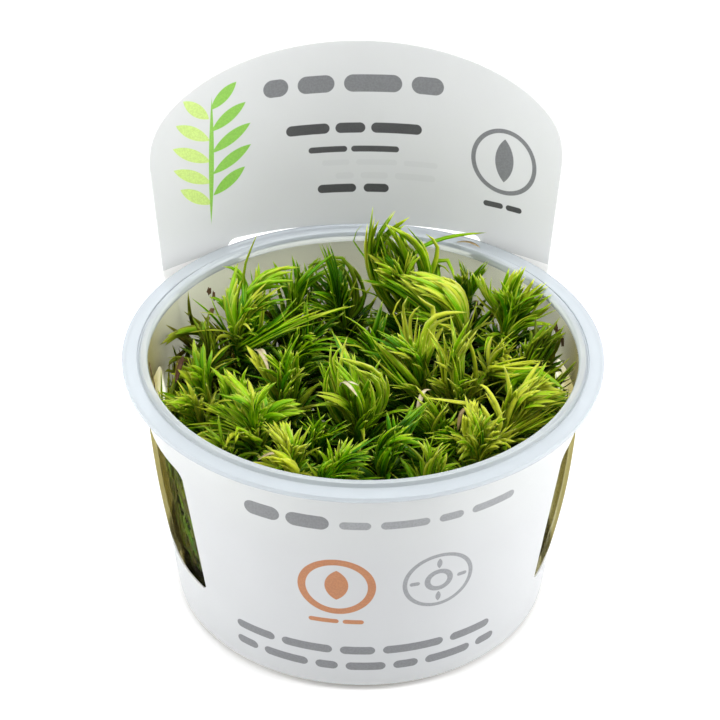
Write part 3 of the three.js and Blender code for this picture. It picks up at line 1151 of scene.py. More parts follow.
    def build(self, plain: Material, panel: Material, tongue: Material, blank: Material) -> None:
        """Makes the sleeve.

        Args:
            plain: the finish of its inside and its cut edges, whose white is painted much lighter as light
                coming through the sheet.
            panel: the printed finish of its outside, whose white is painted a little darker than the
                tongue's as shade under the flange.
            tongue: the printed finish of the tongue's front, whose white is painted lighter as light coming
                through the tongue from behind.
            blank: the finish of the tongue's back.
        """
        bm = self.flat_blank()
        self.bend(bm)
        self.mark_print(bm)
        for edge in sharp_edges(bm, self.crease):
            edge.smooth = False
        piece = finished(bm, "printed_sleeve", plain, panel, tongue, blank)
        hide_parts("label_sleeve")


GREY_INK = (0.170, 0.175, 0.185)
LIGHT_GREY_INK = (0.250, 0.258, 0.270)
DARK_INK = (0.045, 0.046, 0.050)
COPPER_INK = (0.400, 0.160, 0.060)
GREEN_INK = (0.230, 0.460, 0.060)
LIGHT_GREEN_INK = (0.480, 0.640, 0.200)


def dashes(height: float, thickness: float, start: float, gap: float, *widths: float) -> Bar:
    """Lays out a row of bars.

    Args:
        height: the row's middle height.
        thickness: how tall the bars are.
        start: where the first one starts.
        gap: how far apart they are.
        widths: how wide each one is.

    Returns:
        The row.
    """
    spans = []
    for width in widths:
        spans.append((start, start + width))
        start += width + gap
    return Bar(height, thickness, tuple(spans))


def panel_prints() -> tuple[Print, ...]:
    """Lays out the print on the front of the cup, from the panel's own middle.

    Returns:
        What is printed in each ink.
    """
    middle = 2.0
    copper, grey, row = middle - 9.0, middle + 11.5, 30.6
    left = middle - 31
    sun = (Ring((grey, row), 7.0, 0.8), Ring((grey, row), 2.4, 1.1),
           Bar(row, 0.9, ((grey - 6, grey - 4), (grey + 4, grey + 6))),
           Petal((grey, 34.0), (grey, 36.6), 1.0), Petal((grey, 27.2), (grey, 24.6), 1.0))
    return (
        Print(GREY_INK, (dashes(48.2, 3.5, middle - 28, 1.4, 7.5, 8.5),
                         dashes(12.0, 2.2, left, 1.7, 9, 10.5, 7, 12.5, 9.5),
                         dashes(7.2, 2.2, left, 1.7, 5, 9.5, 4.5, 8, 5, 10, 4.6))),
        Print(LIGHT_GREY_INK, (dashes(48.0, 1.9, middle - 8.5, 2.0, 6, 9.5, 5, 10), *sun)),
        Print(COPPER_INK, (Ring((copper, row), 7.0, 1.5), Petal((copper, 35.2), (copper, 27.0), 4.6),
                           dashes(20.6, 1.1, copper - 5.5, 0.9, 6.0, 4.1))),
    )


def tongue_prints() -> tuple[Print, ...]:
    """Lays out the print on the front of the tongue, from its middle and the cup's rim.

    Returns:
        What is printed in each ink.
    """
    leaves = ((10, 7.5), (15, 9), (20, 9), (25, 8), (30, 6))
    left = tuple(Petal((-32.8, h), (-32.8 - reach, h + 5.5), 2.6) for h, reach in leaves)
    right = tuple(Petal((-32.2, h + 2), (-32.2 + reach, h + 7.0), 2.6) for h, reach in leaves)
    return (
        Print(LIGHT_GREY_INK, (dashes(15.4, 1.2, -7, 1.6, 6, 9, 7.5),
                               dashes(12.2, 1.4, -4, 1.6, 4, 6, 9)), 0.10),
        Print(LIGHT_GREEN_INK, left),
        Print(GREEN_INK, (Petal((-33, 6), (-32, 34), 1.1), *right)),
        Print(GREY_INK, (dashes(34.0, 3.9, -20, 2.2, 5.5, 8.0, 12.6, 7.0),
                         Ring((34, 19.2), 7.2, 0.9), Petal((34, 14.5), (34, 24.5), 4.2))),
        Print(DARK_INK, (dashes(23.6, 2.3, -15, 1.4, 9.6, 6.5, 11.1),
                         dashes(18.6, 1.3, -10, 1.0, 8.5, 10.5),
                         dashes(9.2, 1.9, -8, 1.8, 8.5, 5.5), dashes(8.6, 1.2, 29.5, 0.8, 4.5, 3.7))),
    )


@dataclass
class GelLayer:
    """The growth gel on the cup's floor, in millimetres."""

    cup: Cup
    top: float
    gap: float = 0.3
    facets: int = 72
    edge_drop: float = 0.1
    mean_drop: float = 0.5
    rings: tuple[float, ...] = (0.97, 0.88, 0.75, 0.6, 0.45, 0.3, 0.15, 0)
    waviness: float = 0.35

    def build(self, gel: Material) -> None:
        """Makes the gel.

        Args:
            gel: its finish.
        """
        low = self.cup.wall + self.gap
        edge = self.cup.foot_edge
        rim = self.cup.inner(self.top) - self.gap
        profile = [(0, low), (self.cup.inner(low) - edge - self.gap, low),
                   (self.cup.inner(low + edge) - self.gap, low + edge), (rim, self.top - self.edge_drop)]
        profile += [(rim * share, self.top - self.mean_drop) for share in self.rings]
        bm = spin_profile(profile, self.facets)
        for vert in bm.verts:
            if vert.co.z > self.top - self.mean_drop - self.edge_drop:
                vert.co.z += self.waviness * math.sin(vert.co.x * 0.6) * math.cos(vert.co.y * 0.5)
        piece = finished(bm, "gel_layer", gel)
        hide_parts("growth_medium")


# The shoots


class Kind(Enum):
    """A kind of shoot, by the slot that its leaves take their finish from."""

    FRESH = "fresh_leaf"
    YELLOW = "yellow_leaf"
    DARK = "dark_leaf"
    OLIVE = "olive_leaf"


TONES = {Kind.FRESH: 0.62, Kind.YELLOW: 0.76, Kind.DARK: 0.42, Kind.OLIVE: 0.42}
AGES = {Kind.FRESH: 0.0, Kind.YELLOW: 0.0, Kind.DARK: 0.1, Kind.OLIVE: 0.75}


@dataclass(frozen=True)
class Blade:
    """One lock of long leaves by its root, the middle of its arch and its tip, in millimetres."""

    start: Point
    middle: Point
    tip: Point
    width: float = 1.45
    tone: float = 0.58
    age: float = 0.0
    company: int = 8


@dataclass(frozen=True)
class Look:
    """A leaf's greatest width, how light it is and how brown it is."""

    width: float
    tone: float
    age: float = 0.0


@dataclass(frozen=True)
class Shoot:
    """One shoot by its crown, the way that its leaves sweep, and its own long leaves."""

    name: str
    kind: Kind
    crown: Point
    sweep: Point
    blades: tuple[Blade, ...] = ()
    size: float = 10.0
    locks: int = 10
    lift: float = 0.0


def aim(turn: float, rise: float) -> Vector:
    """Returns a step of length 1 that is turned from X and raised, both in radians."""
    return Vector((math.cos(turn), math.sin(turn), 0)) * math.cos(rise) + UP * math.sin(rise)


def smooth_path(points: list[Vector], spans: int) -> list[Vector]:
    """Lays evenly spaced places along a smooth curve through a few points.

    Args:
        points: the points.
        spans: how many equal spans to cut the curve into.

    Returns:
        The places, one more than the spans.
    """
    cuts, slack = 9, 0.55
    ends = [points[0] * 2 - points[1], *points, points[-1] * 2 - points[-2]]
    fine = []
    for a, b, c, d in zip(ends, ends[1:], ends[2:], ends[3:]):
        for t in (i / cuts for i in range(cuts)):
            cubic = 3 * (b - c) + d - a
            through = b + 0.5 * (t * (c - a) + t**2 * (2 * a - 5 * b + 4 * c - d) + t**3 * cubic)
            beside = (a + 4 * b + c + 3 * t * (c - a) + 3 * t**2 * (a - 2 * b + c) + t**3 * cubic) / 6
            fine.append(through.lerp(beside, slack))
    fine.append(points[-1].copy())
    runs = [0.0]
    for a, b in zip(fine, fine[1:]):
        runs.append(runs[-1] + (b - a).length)
    places, k = [], 0
    for i in range(spans + 1):
        goal = runs[-1] * i / spans
        while k < len(runs) - 2 and runs[k + 1] < goal:
            k += 1
        share = (goal - runs[k]) / max(runs[k + 1] - runs[k], 1e-6)
        places.append(fine[k].lerp(fine[k + 1], min(1.0, share)))
    return places


@dataclass
class Leaf:
    """A leaf with a keel, and how it is laid along a curve inside the cup."""

    cup: Cup
    rings: int = 10
    channel: float = 0.24
    rib: float = 0.30
    room: float = 0.5
    widest: float = 0.36
    foot: float = 0.45
    template: bpy.types.Mesh = field(init=False)

    def __post_init__(self) -> None:
        """Makes the straight leaf along Z, one wide to each side and one long."""
        bm = leaf_mesh()
        bmesh.ops.create_circle(bm, cap_ends=True, segments=4, radius=1)
        for vert in bm.verts:
            if abs(vert.co.x) > 0.5:
                vert.co.y = self.channel
            else:
                vert.co.y = 0.0 if vert.co.y > 0 else -self.rib
        cap = bm.faces[:]
        for _ in range(self.rings):
            cap = extrude(bm, cap, UP / self.rings)[0]
        bmesh.ops.pointmerge(bm, verts=cap[0].verts[:], merge_co=UP)
        bmesh.ops.recalc_face_normals(bm, faces=bm.faces[:])
        layer = bm.loops.layers.uv["blade"]
        for face in bm.faces:
            for loop in face.loops:
                loop[layer].uv = ((loop.vert.co.x + 1) / 2, loop.vert.co.z)
        self.template = bpy.data.meshes.new("leaf_template")
        bm.to_mesh(self.template)
        bm.free()

    def fullness(self, t: float) -> float:
        """Works out how wide a leaf is along its length.

        Args:
            t: the place along it, from 0 to 1.

        Returns:
            The width as a share of the greatest.
        """
        if t < self.widest:
            return self.foot + (1 - self.foot) * math.sin(math.pi / 2 * t / self.widest)
        return max(0.0, 1 - ((t - self.widest) / (1 - self.widest)) ** 2.3) ** 0.72

    def lay(self, bm: BMesh, points: list[Vector], look: Look, upper: Vector) -> None:
        """Adds one leaf along a curve.

        Args:
            bm: the mesh that it joins.
            points: the few points that the leaf's middle line goes through, from its root.
            look: its width, its tone and its age.
            upper: the way that its upper face looks.
        """
        line = smooth_path([self.cup.keep_inside(p, self.room) for p in points], self.rings)
        neighbours = zip([line[0], *line], [*line[1:], line[-1]])
        aheads = [(after - before).normalized() for before, after in neighbours]
        side = aheads[0].orthogonal().normalized()
        sides = []
        for ahead in aheads:
            turned = upper.cross(ahead)
            if turned.length > 0.15:
                turned.normalize()
                side = turned if not sides or turned.dot(side) > 0 else -turned
            sides.append(side)
        bm.from_mesh(self.template)
        bm.verts.ensure_lookup_table()
        tones, ages = bm.verts.layers.float["tone"], bm.verts.layers.float["age"]
        for vert in bm.verts[-len(self.template.vertices):]:
            ring = round(vert.co.z * self.rings)
            half = look.width / 2 * self.fullness(ring / self.rings)
            across, raised = vert.co.x * half, vert.co.y * half
            ahead, aside = aheads[ring], sides[ring]
            vert.co = line[ring] + aside * across + ahead.cross(aside) * raised
            vert[tones] = look.tone
            vert[ages] = look.age


@dataclass
class Plant:
    """One shoot as it grows: a stem, whorls of short leaves down it and locks of long ones on top."""

    shoot: Shoot
    leaf: Leaf
    root_height: float
    root_pull: float = 0.86
    stem_radius: float = 0.75
    stem_sides: int = 6
    stem_steps: int = 12
    stem_depth: float = 2.0
    stem_look: Look = Look(1.5, 0.4, 0.25)
    path_steps: int = 24
    lock_leaves: int = 10
    lock_points: int = 4
    lock_spread: float = 1.25
    lock_fan: Span = (0.35, 0.9)
    lock_reach: Span = (0.58, 1.0)
    lock_width: Span = (0.75, 1.1)
    lock_tone: float = 0.14
    lock_curl: float = 0.9
    crown_drop: Span = (0.5, 8.5)
    crown_rise: Span = (84.0, 58.0)
    crown_rise_spread: float = 6.0
    crown_length: Span = (0.85, 1.2)
    crown_hook: Span = (0.3, 1.2)
    crown_twist: float = 0.3
    crown_width: Span = (1.0, 1.5)
    crown_tone: float = 0.12
    strays: int = 12
    stray_drop: Span = (0.5, 6.0)
    stray_rise: Span = (35, 85)
    stray_length: Span = (0.8, 1.35)
    stray_twist: float = 0.28
    stray_hook: Span = (-0.15, 0.55)
    stray_width: Span = (0.6, 1.1)
    stray_light: Span = (0.0, 0.4)
    whorl_start: float = 7.0
    whorl_step: float = 3.6
    whorl_leaves: int = 9
    whorl_length: float = 11.0
    whorl_rise: Span = (42.0, 45.0)
    whorl_rise_spread: float = 12.0
    whorl_bends: tuple[float, ...] = (0.3, 0, -0.4)
    whorl_width: Span = (1.2, 1.8)
    wall_reach: float = 27.0
    wall_leaves: int = 70
    wall_top: float = 34.0
    wall_spread: float = 0.22
    wall_lean: float = 0.16
    wall_length: Span = (9, 16)
    wall_width: Span = (1.2, 2.0)
    wall_tones: Span = (0.25, 0.75)
    wall_ages: tuple[float, ...] = (0.1, 0.6, 0.9)
    bm: BMesh = field(default_factory=leaf_mesh)
    rng: random.Random = field(init=False)

    def __post_init__(self) -> None:
        """Starts the random numbers that make each of its leaves a little different."""
        self.rng = random.Random(self.shoot.name)

    def tone(self, change: float) -> float:
        """Returns the tone of the shoot's leaves with a change to it."""
        return TONES[self.shoot.kind] + self.shoot.lift + change

    def age(self, low: float, high: float) -> float:
        """Returns the age of the shoot's leaves times a random share."""
        return AGES[self.shoot.kind] * self.rng.uniform(low, high)

    def stem_point(self, drop: float) -> Vector:
        """Finds a place on the stem's middle line.

        Args:
            drop: how far it lies below the crown.

        Returns:
            The place.
        """
        crown = Vector(self.shoot.crown)
        root = Vector((crown.x * self.root_pull, crown.y * self.root_pull, self.root_height))
        bend = Vector((crown.x, crown.y, (crown.z + root.z) / 2))
        t = max(0.0, 1 - drop / (crown.z - root.z))
        return root * (1 - t) ** 2 + bend * (2 * t * (1 - t)) + crown * t**2

    def lay(self, path: list[Vector], look: Look, roll: float) -> None:
        """Adds one leaf whose upper face looks towards its stem and up."""
        self.leaf.lay(self.bm, path, look, self.facing(path[0], path[2], roll))

    def facing(self, root: Vector, middle: Vector, roll: float) -> Vector:
        """Works out the way that a leaf's upper face looks, towards its stem and up.

        Args:
            root: the leaf's root.
            middle: the leaf's middle.
            roll: how much it is turned about its length at random, in radians.

        Returns:
            The way, of length 1.
        """
        inward = Vector((root.x - middle.x, root.y - middle.y, 0))
        inward = inward.normalized() if inward.length > 0.1 else Vector((0, -1, 0))
        turn = Matrix.Rotation(self.rng.gauss(0, roll), 3, (middle - root).normalized())
        return (turn @ (inward * 0.75 + UP * 0.65)).normalized()

    def lock(self, path: list[Vector], look: Look, leaves: int) -> None:
        """Adds leaves that lie side by side along one path, as if combed.

        Args:
            path: the few points that the lock goes through, from its root.
            look: its leaves' width, tone and age.
            leaves: how many leaves it has.
        """
        rng = self.rng
        fine = smooth_path(path, self.path_steps)
        chord = (fine[-1] - fine[0]).normalized()
        aside = chord.orthogonal().normalized()
        above = chord.cross(aside)
        for _ in range(leaves):
            turn, far = rng.uniform(0, FULL_TURN), self.lock_spread * math.sqrt(rng.random())
            offset = (aside * math.cos(turn) + above * math.sin(turn)) * far
            curl = Vector([rng.gauss(0, self.lock_curl) for _ in range(3)])
            reach = rng.uniform(*self.lock_reach)
            points = []
            for i in range(self.lock_points + 1):
                t = reach * i / self.lock_points
                index = min(int(t * self.path_steps), self.path_steps - 1)
                spot = fine[index].lerp(fine[index + 1], t * self.path_steps - index)
                spread = offset * (self.lock_fan[0] + self.lock_fan[1] * t)
                points.append(spot + spread + curl * (i / self.lock_points) ** 3)
            width = look.width * rng.uniform(*self.lock_width)
            tone = min(1.0, max(0.03, look.tone + rng.gauss(0, self.lock_tone)))
            own = Look(width, tone, look.age * rng.uniform(0.5, 1.0))
            self.leaf.lay(self.bm, points, own, self.facing(path[0], points[2], 0.3))

    def stem(self) -> None:
        """Adds the stem, from inside the gel up to the crown."""
        bm = self.bm
        span = self.shoot.crown[2] - self.root_height
        line = [self.stem_point(span * (1 - i / self.stem_steps)) for i in range(self.stem_steps + 1)]
        line[0].z -= self.stem_depth
        ring = bmesh.ops.create_circle(bm, cap_ends=True, segments=self.stem_sides,
                                       radius=self.stem_radius)["verts"]
        bmesh.ops.translate(bm, verts=ring, vec=line[0])
        made, cap = set(ring), faces_of(ring)
        for before, here in zip(line, line[1:]):
            cap, corners = extrude(bm, cap, here - before)
            made.update(corners)
        bmesh.ops.recalc_face_normals(bm, faces=faces_of(made))
        tones, ages = bm.verts.layers.float["tone"], bm.verts.layers.float["age"]
        layer = bm.loops.layers.uv["blade"]
        for vert in made:
            vert[tones] = self.stem_look.tone
            vert[ages] = self.stem_look.age
            for loop in vert.link_loops:
                loop[layer].uv = (0.3, 0.3 + 0.01 * vert.co.z)

    def long_leaves(self) -> None:
        """Adds the shoot's own long leaves, each with a lock that keeps it company."""
        for blade in self.shoot.blades:
            drop = max(1.0, self.shoot.crown[2] - blade.start[2] + 3.0)
            path = [self.stem_point(drop), Vector(blade.start), Vector(blade.middle), Vector(blade.tip)]
            look = Look(blade.width, min(1.0, blade.tone + self.shoot.lift), blade.age)
            self.lay(path, look, 0.2)
            self.lock(path, look, blade.company)

    def crown_locks(self) -> None:
        """Adds the locks of leaves at the shoot's top, the youngest steepest."""
        rng, shoot = self.rng, self.shoot
        turn = rng.uniform(0, FULL_TURN)
        for k in range(shoot.locks):
            low = k / shoot.locks
            turn += GOLDEN_TURN
            steepest, fall = self.crown_rise
            rise = math.radians(steepest - fall * low + rng.gauss(0, self.crown_rise_spread))
            length = shoot.size * rng.uniform(*self.crown_length)
            length *= 0.85 + 0.4 * math.sin(math.pi * min(1, low + 0.25))
            hook = rng.uniform(*self.crown_hook)
            twist = rng.gauss(0, self.crown_twist)
            path = [self.stem_point(self.crown_drop[0] + self.crown_drop[1] * low)]
            for i, bend in enumerate((0.45, 0.12, -0.25 - 0.4 * hook, -0.5 - hook)):
                swept = Vector(shoot.sweep) * ((0.08 + 0.09 * i) * length / shoot.size)
                path.append(path[-1] + aim(turn + twist * i, rise + bend) * length / 4 + swept)
            tone = min(1.0, max(0.05, self.tone(rng.gauss(0, self.crown_tone) - 0.25 * low)))
            look = Look(rng.uniform(*self.crown_width), tone, self.age(0.5, 1.0))
            self.lock(path, look, self.lock_leaves)

    def stray_leaves(self) -> None:
        """Adds the thin light leaves that curl out of the shoot's top, each its own way."""
        rng = self.rng
        for _ in range(self.strays):
            turn = rng.uniform(0, FULL_TURN)
            rise = math.radians(rng.uniform(*self.stray_rise))
            length = self.shoot.size * rng.uniform(*self.stray_length)
            twist, hook = rng.gauss(0, self.stray_twist), rng.uniform(*self.stray_hook)
            path = [self.stem_point(rng.uniform(*self.stray_drop))]
            for _ in range(4):
                path.append(path[-1] + aim(turn, rise) * length / 4)
                turn += twist
                rise -= hook
            width = rng.uniform(*self.stray_width)
            tone = min(1.0, self.tone(rng.uniform(*self.stray_light)))
            self.lay(path, Look(width, tone, self.age(0.0, 0.7)), 0.4)

    def whorls(self) -> None:
        """Adds the whorls of short leaves down the stem, older and browner lower down."""
        rng, crown = self.rng, self.shoot.crown
        drop = self.whorl_start
        while self.stem_point(drop).z > self.root_height + 3:
            root = self.stem_point(drop)
            low = (crown[2] - root.z) / (crown[2] - self.root_height)
            rim_share = smoothstep(math.hypot(root.x, root.y), 20, 32)
            towards_wall = Vector((root.x, root.y, 0)).normalized()
            start_turn = rng.uniform(0, FULL_TURN)
            for k in range(self.whorl_leaves):
                turn = start_turn + FULL_TURN * k / self.whorl_leaves + rng.gauss(0, 0.15)
                steepest, fall = self.whorl_rise
                rise = math.radians(steepest - fall * low + rng.gauss(0, self.whorl_rise_spread))
                length = self.whorl_length * rng.uniform(0.7, 1.15)
                length *= 1 + 0.6 * rim_share * max(0.0, aim(turn, 0).dot(towards_wall))
                path = [root]
                for bend in self.whorl_bends:
                    path.append(path[-1] + aim(turn, rise + bend) * length / len(self.whorl_bends))
                upper = self.facing(root, path[2], 0.4)
                tone = max(0.05, self.tone(-0.25 - 0.15 * low + rng.gauss(0, 0.1)))
                age = min(1.0, max(0.0, AGES[self.shoot.kind] + 0.55 * low + rng.gauss(0, 0.2)))
                self.leaf.lay(self.bm, path, Look(rng.uniform(*self.whorl_width), tone, age), upper)
            drop += self.whorl_step * rng.uniform(0.8, 1.2)

    def lining(self) -> None:
        """Adds the older leaves of a shoot near the wall, which stand pressed against it."""
        rng, crown = self.rng, self.shoot.crown
        if math.hypot(*crown[:2]) < self.wall_reach:
            return
        for _ in range(self.wall_leaves):
            turn = math.atan2(crown[0], crown[1]) + rng.gauss(0, self.wall_spread)
            foot = rng.uniform(self.root_height + 1, self.wall_top)
            length, lean = rng.uniform(*self.wall_length), rng.gauss(0, self.wall_lean)
            path = [self.stem_point(crown[2] - foot)]
            for share in (0.2, 0.6, 1.0):
                z = foot + length * share
                path.append(round_cup(self.leaf.cup.inner(z) - self.leaf.room, turn + lean * share, z))
            look = Look(rng.uniform(*self.wall_width), rng.uniform(*self.wall_tones),
                        rng.choice(self.wall_ages))
            self.leaf.lay(self.bm, path, look, round_cup(1.0, turn, 0.0))

    def build(self, tissue: Material) -> None:
        """Makes the shoot.

        Args:
            tissue: the finish of its leaves.
        """
        shoot = self.shoot
        self.stem()
        self.long_leaves()
        self.crown_locks()
        self.stray_leaves()
        self.whorls()
        self.lining()
        piece = finished(self.bm, f"foliage_{shoot.name}", tissue)
        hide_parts(f"shoot_{shoot.name}")


@dataclass(frozen=True)
class Strip:
    """One dried scrap of leaf: the points that it lies along, in millimetres, its width and its tone."""

    points: tuple[Point, ...]
    width: float
    tone: float


@dataclass(frozen=True)
class Stain:
    """One dried stain on the wall: its angle from the back in degrees, its height, sizes and tone."""

    angle: float
    height: float
    wide: float
    tall: float
    tone: float = 0.15


@dataclass
class Scraps:
    """The dried scraps of leaf among the shoots, and the stains that stick to the wall."""

    leaf: Leaf
    film: float = 0.15
    corners: int = 12
    raised: float = 0.16
    ragged: float = 0.25
    strips: tuple[Strip, ...] = (
        Strip(((22.8, 39.8, 59.1), (24.8, 39.8, 59.2), (26.5, 38.8, 59.2), (27.8, 37.2, 59.1)), 0.8, 0.60),
        Strip(((-5, -6.6, 53.5), (-4.5, -7.4, 55.4), (-3, -9.6, 55.4), (-1.6, -11.2, 54)), 0.9, 0.84),
        Strip(((-3.4, -6.4, 54.6), (-3, -8.4, 55.8), (-1.2, -8.6, 55)), 0.7, 0.84),
        Strip(((10.4, -16.5, 52.5), (10.6, -15.6, 55), (11.8, -12, 56), (13.6, -10.6, 55)), 1.0, 0.75),
        Strip(((-22.6, 6.6, 53.8), (-21.6, 4.4, 55.2), (-20.2, 1, 54.6), (-19.6, -1, 53)), 0.9, 0.75),
        Strip(((-21.9, 6.9, 53.8), (-20.8, 4.6, 55.3), (-19.8, 1.6, 54.2)), 0.7, 0.8),
        Strip(((-22.1, -29, 52), (-19.5, -28.6, 53.4), (-17, -28.9, 53), (-15.6, -29.6, 52)), 0.9, 0.7),
        Strip(((18.4, -19, 51), (19.4, -15.8, 53.5), (21.4, -14.6, 53.2), (22.2, -17.2, 51.5)), 0.9, 0.55),
        Strip(((24, 36.9, 50.5), (25, 36.4, 52.6), (26.4, 35.5, 54.2)), 0.5, 0.7),
        Strip(((-37.9, 9.6, 50.4), (-38.6, 5.8, 50), (-39.4, 3, 48)), 1.1, 0.0),
    )
    stains: tuple[Stain, ...] = (
        Stain(71.8, 53.2, 1.6, 2.0, 0.05), Stain(74.2, 52.6, 2.4, 2.4, 0.10),
        Stain(77.0, 52.3, 1.8, 2.0, 0.05), Stain(-47.0, 53.4, 1.3, 1.7, 0.10),
        Stain(-45.4, 51.6, 0.8, 2.4, 0.10), Stain(-47.2, 48.4, 2.0, 1.4, 0.3),
        Stain(-49.0, 47.2, 1.4, 1.0, 0.3), Stain(-51.6, 39.4, 1.6, 1.6, 0.35),
        Stain(-50.0, 37.8, 1.4, 1.6, 0.35), Stain(-87.8, 52.6, 0.9, 3.4),
        Stain(-87.0, 48.8, 0.7, 2.6), Stain(38.2, 46.2, 1.2, 1.8, 0.3),
        Stain(36.4, 45.0, 0.8, 1.2, 0.3),
    )

    def stain(self, bm: BMesh, spot: Stain, lean: float) -> None:
        """Adds one stain: a ragged film that is bent onto the inside of the wall.

        Args:
            bm: the stains' mesh.
            spot: the stain's place, sizes and tone.
            lean: how far it leans over, from -0.5 to 0.5.
        """
        disc = bmesh.ops.create_circle(bm, cap_ends=True, segments=self.corners, radius=0.5)["verts"]
        bmesh.ops.inset_individual(bm, faces=faces_of(disc), thickness=self.raised)
        made = {vert for face in faces_of(disc) for vert in face.verts}
        shell = bmesh.ops.solidify(bm, geom=faces_of(made), thickness=self.film)["geom"]
        made.update(of_kind(shell, BMVert))
        tones = bm.verts.layers.float["tone"]
        for vert in made:
            x, y, depth = vert.co
            ragged = 1 + self.ragged * math.sin(5 * math.atan2(y, x) + 9 * lean)
            z = spot.height + y * ragged * spot.tall
            radius = self.leaf.cup.inner(z) - 0.02 - abs(depth)
            turn = math.radians(spot.angle) + (x * ragged + lean * y) * spot.wide / radius
            vert.co = round_cup(radius, turn, z)
            vert[tones] = spot.tone
        bmesh.ops.recalc_face_normals(bm, faces=faces_of(made))

    def build(self, dead: Material) -> None:
        """Makes the scraps and the stains.

        Args:
            dead: their finish.
        """
        rng = random.Random("scraps")
        scraps, stains = leaf_mesh(), leaf_mesh()
        for strip in self.strips:
            self.leaf.lay(scraps, [Vector(p) for p in strip.points], Look(strip.width, strip.tone), UP)
        for spot in self.stains:
            self.stain(stains, spot, rng.uniform(-0.5, 0.5))
        for name, bm in (("dried_scraps", scraps), ("wall_stains", stains)):
            piece = finished(bm, name, dead)


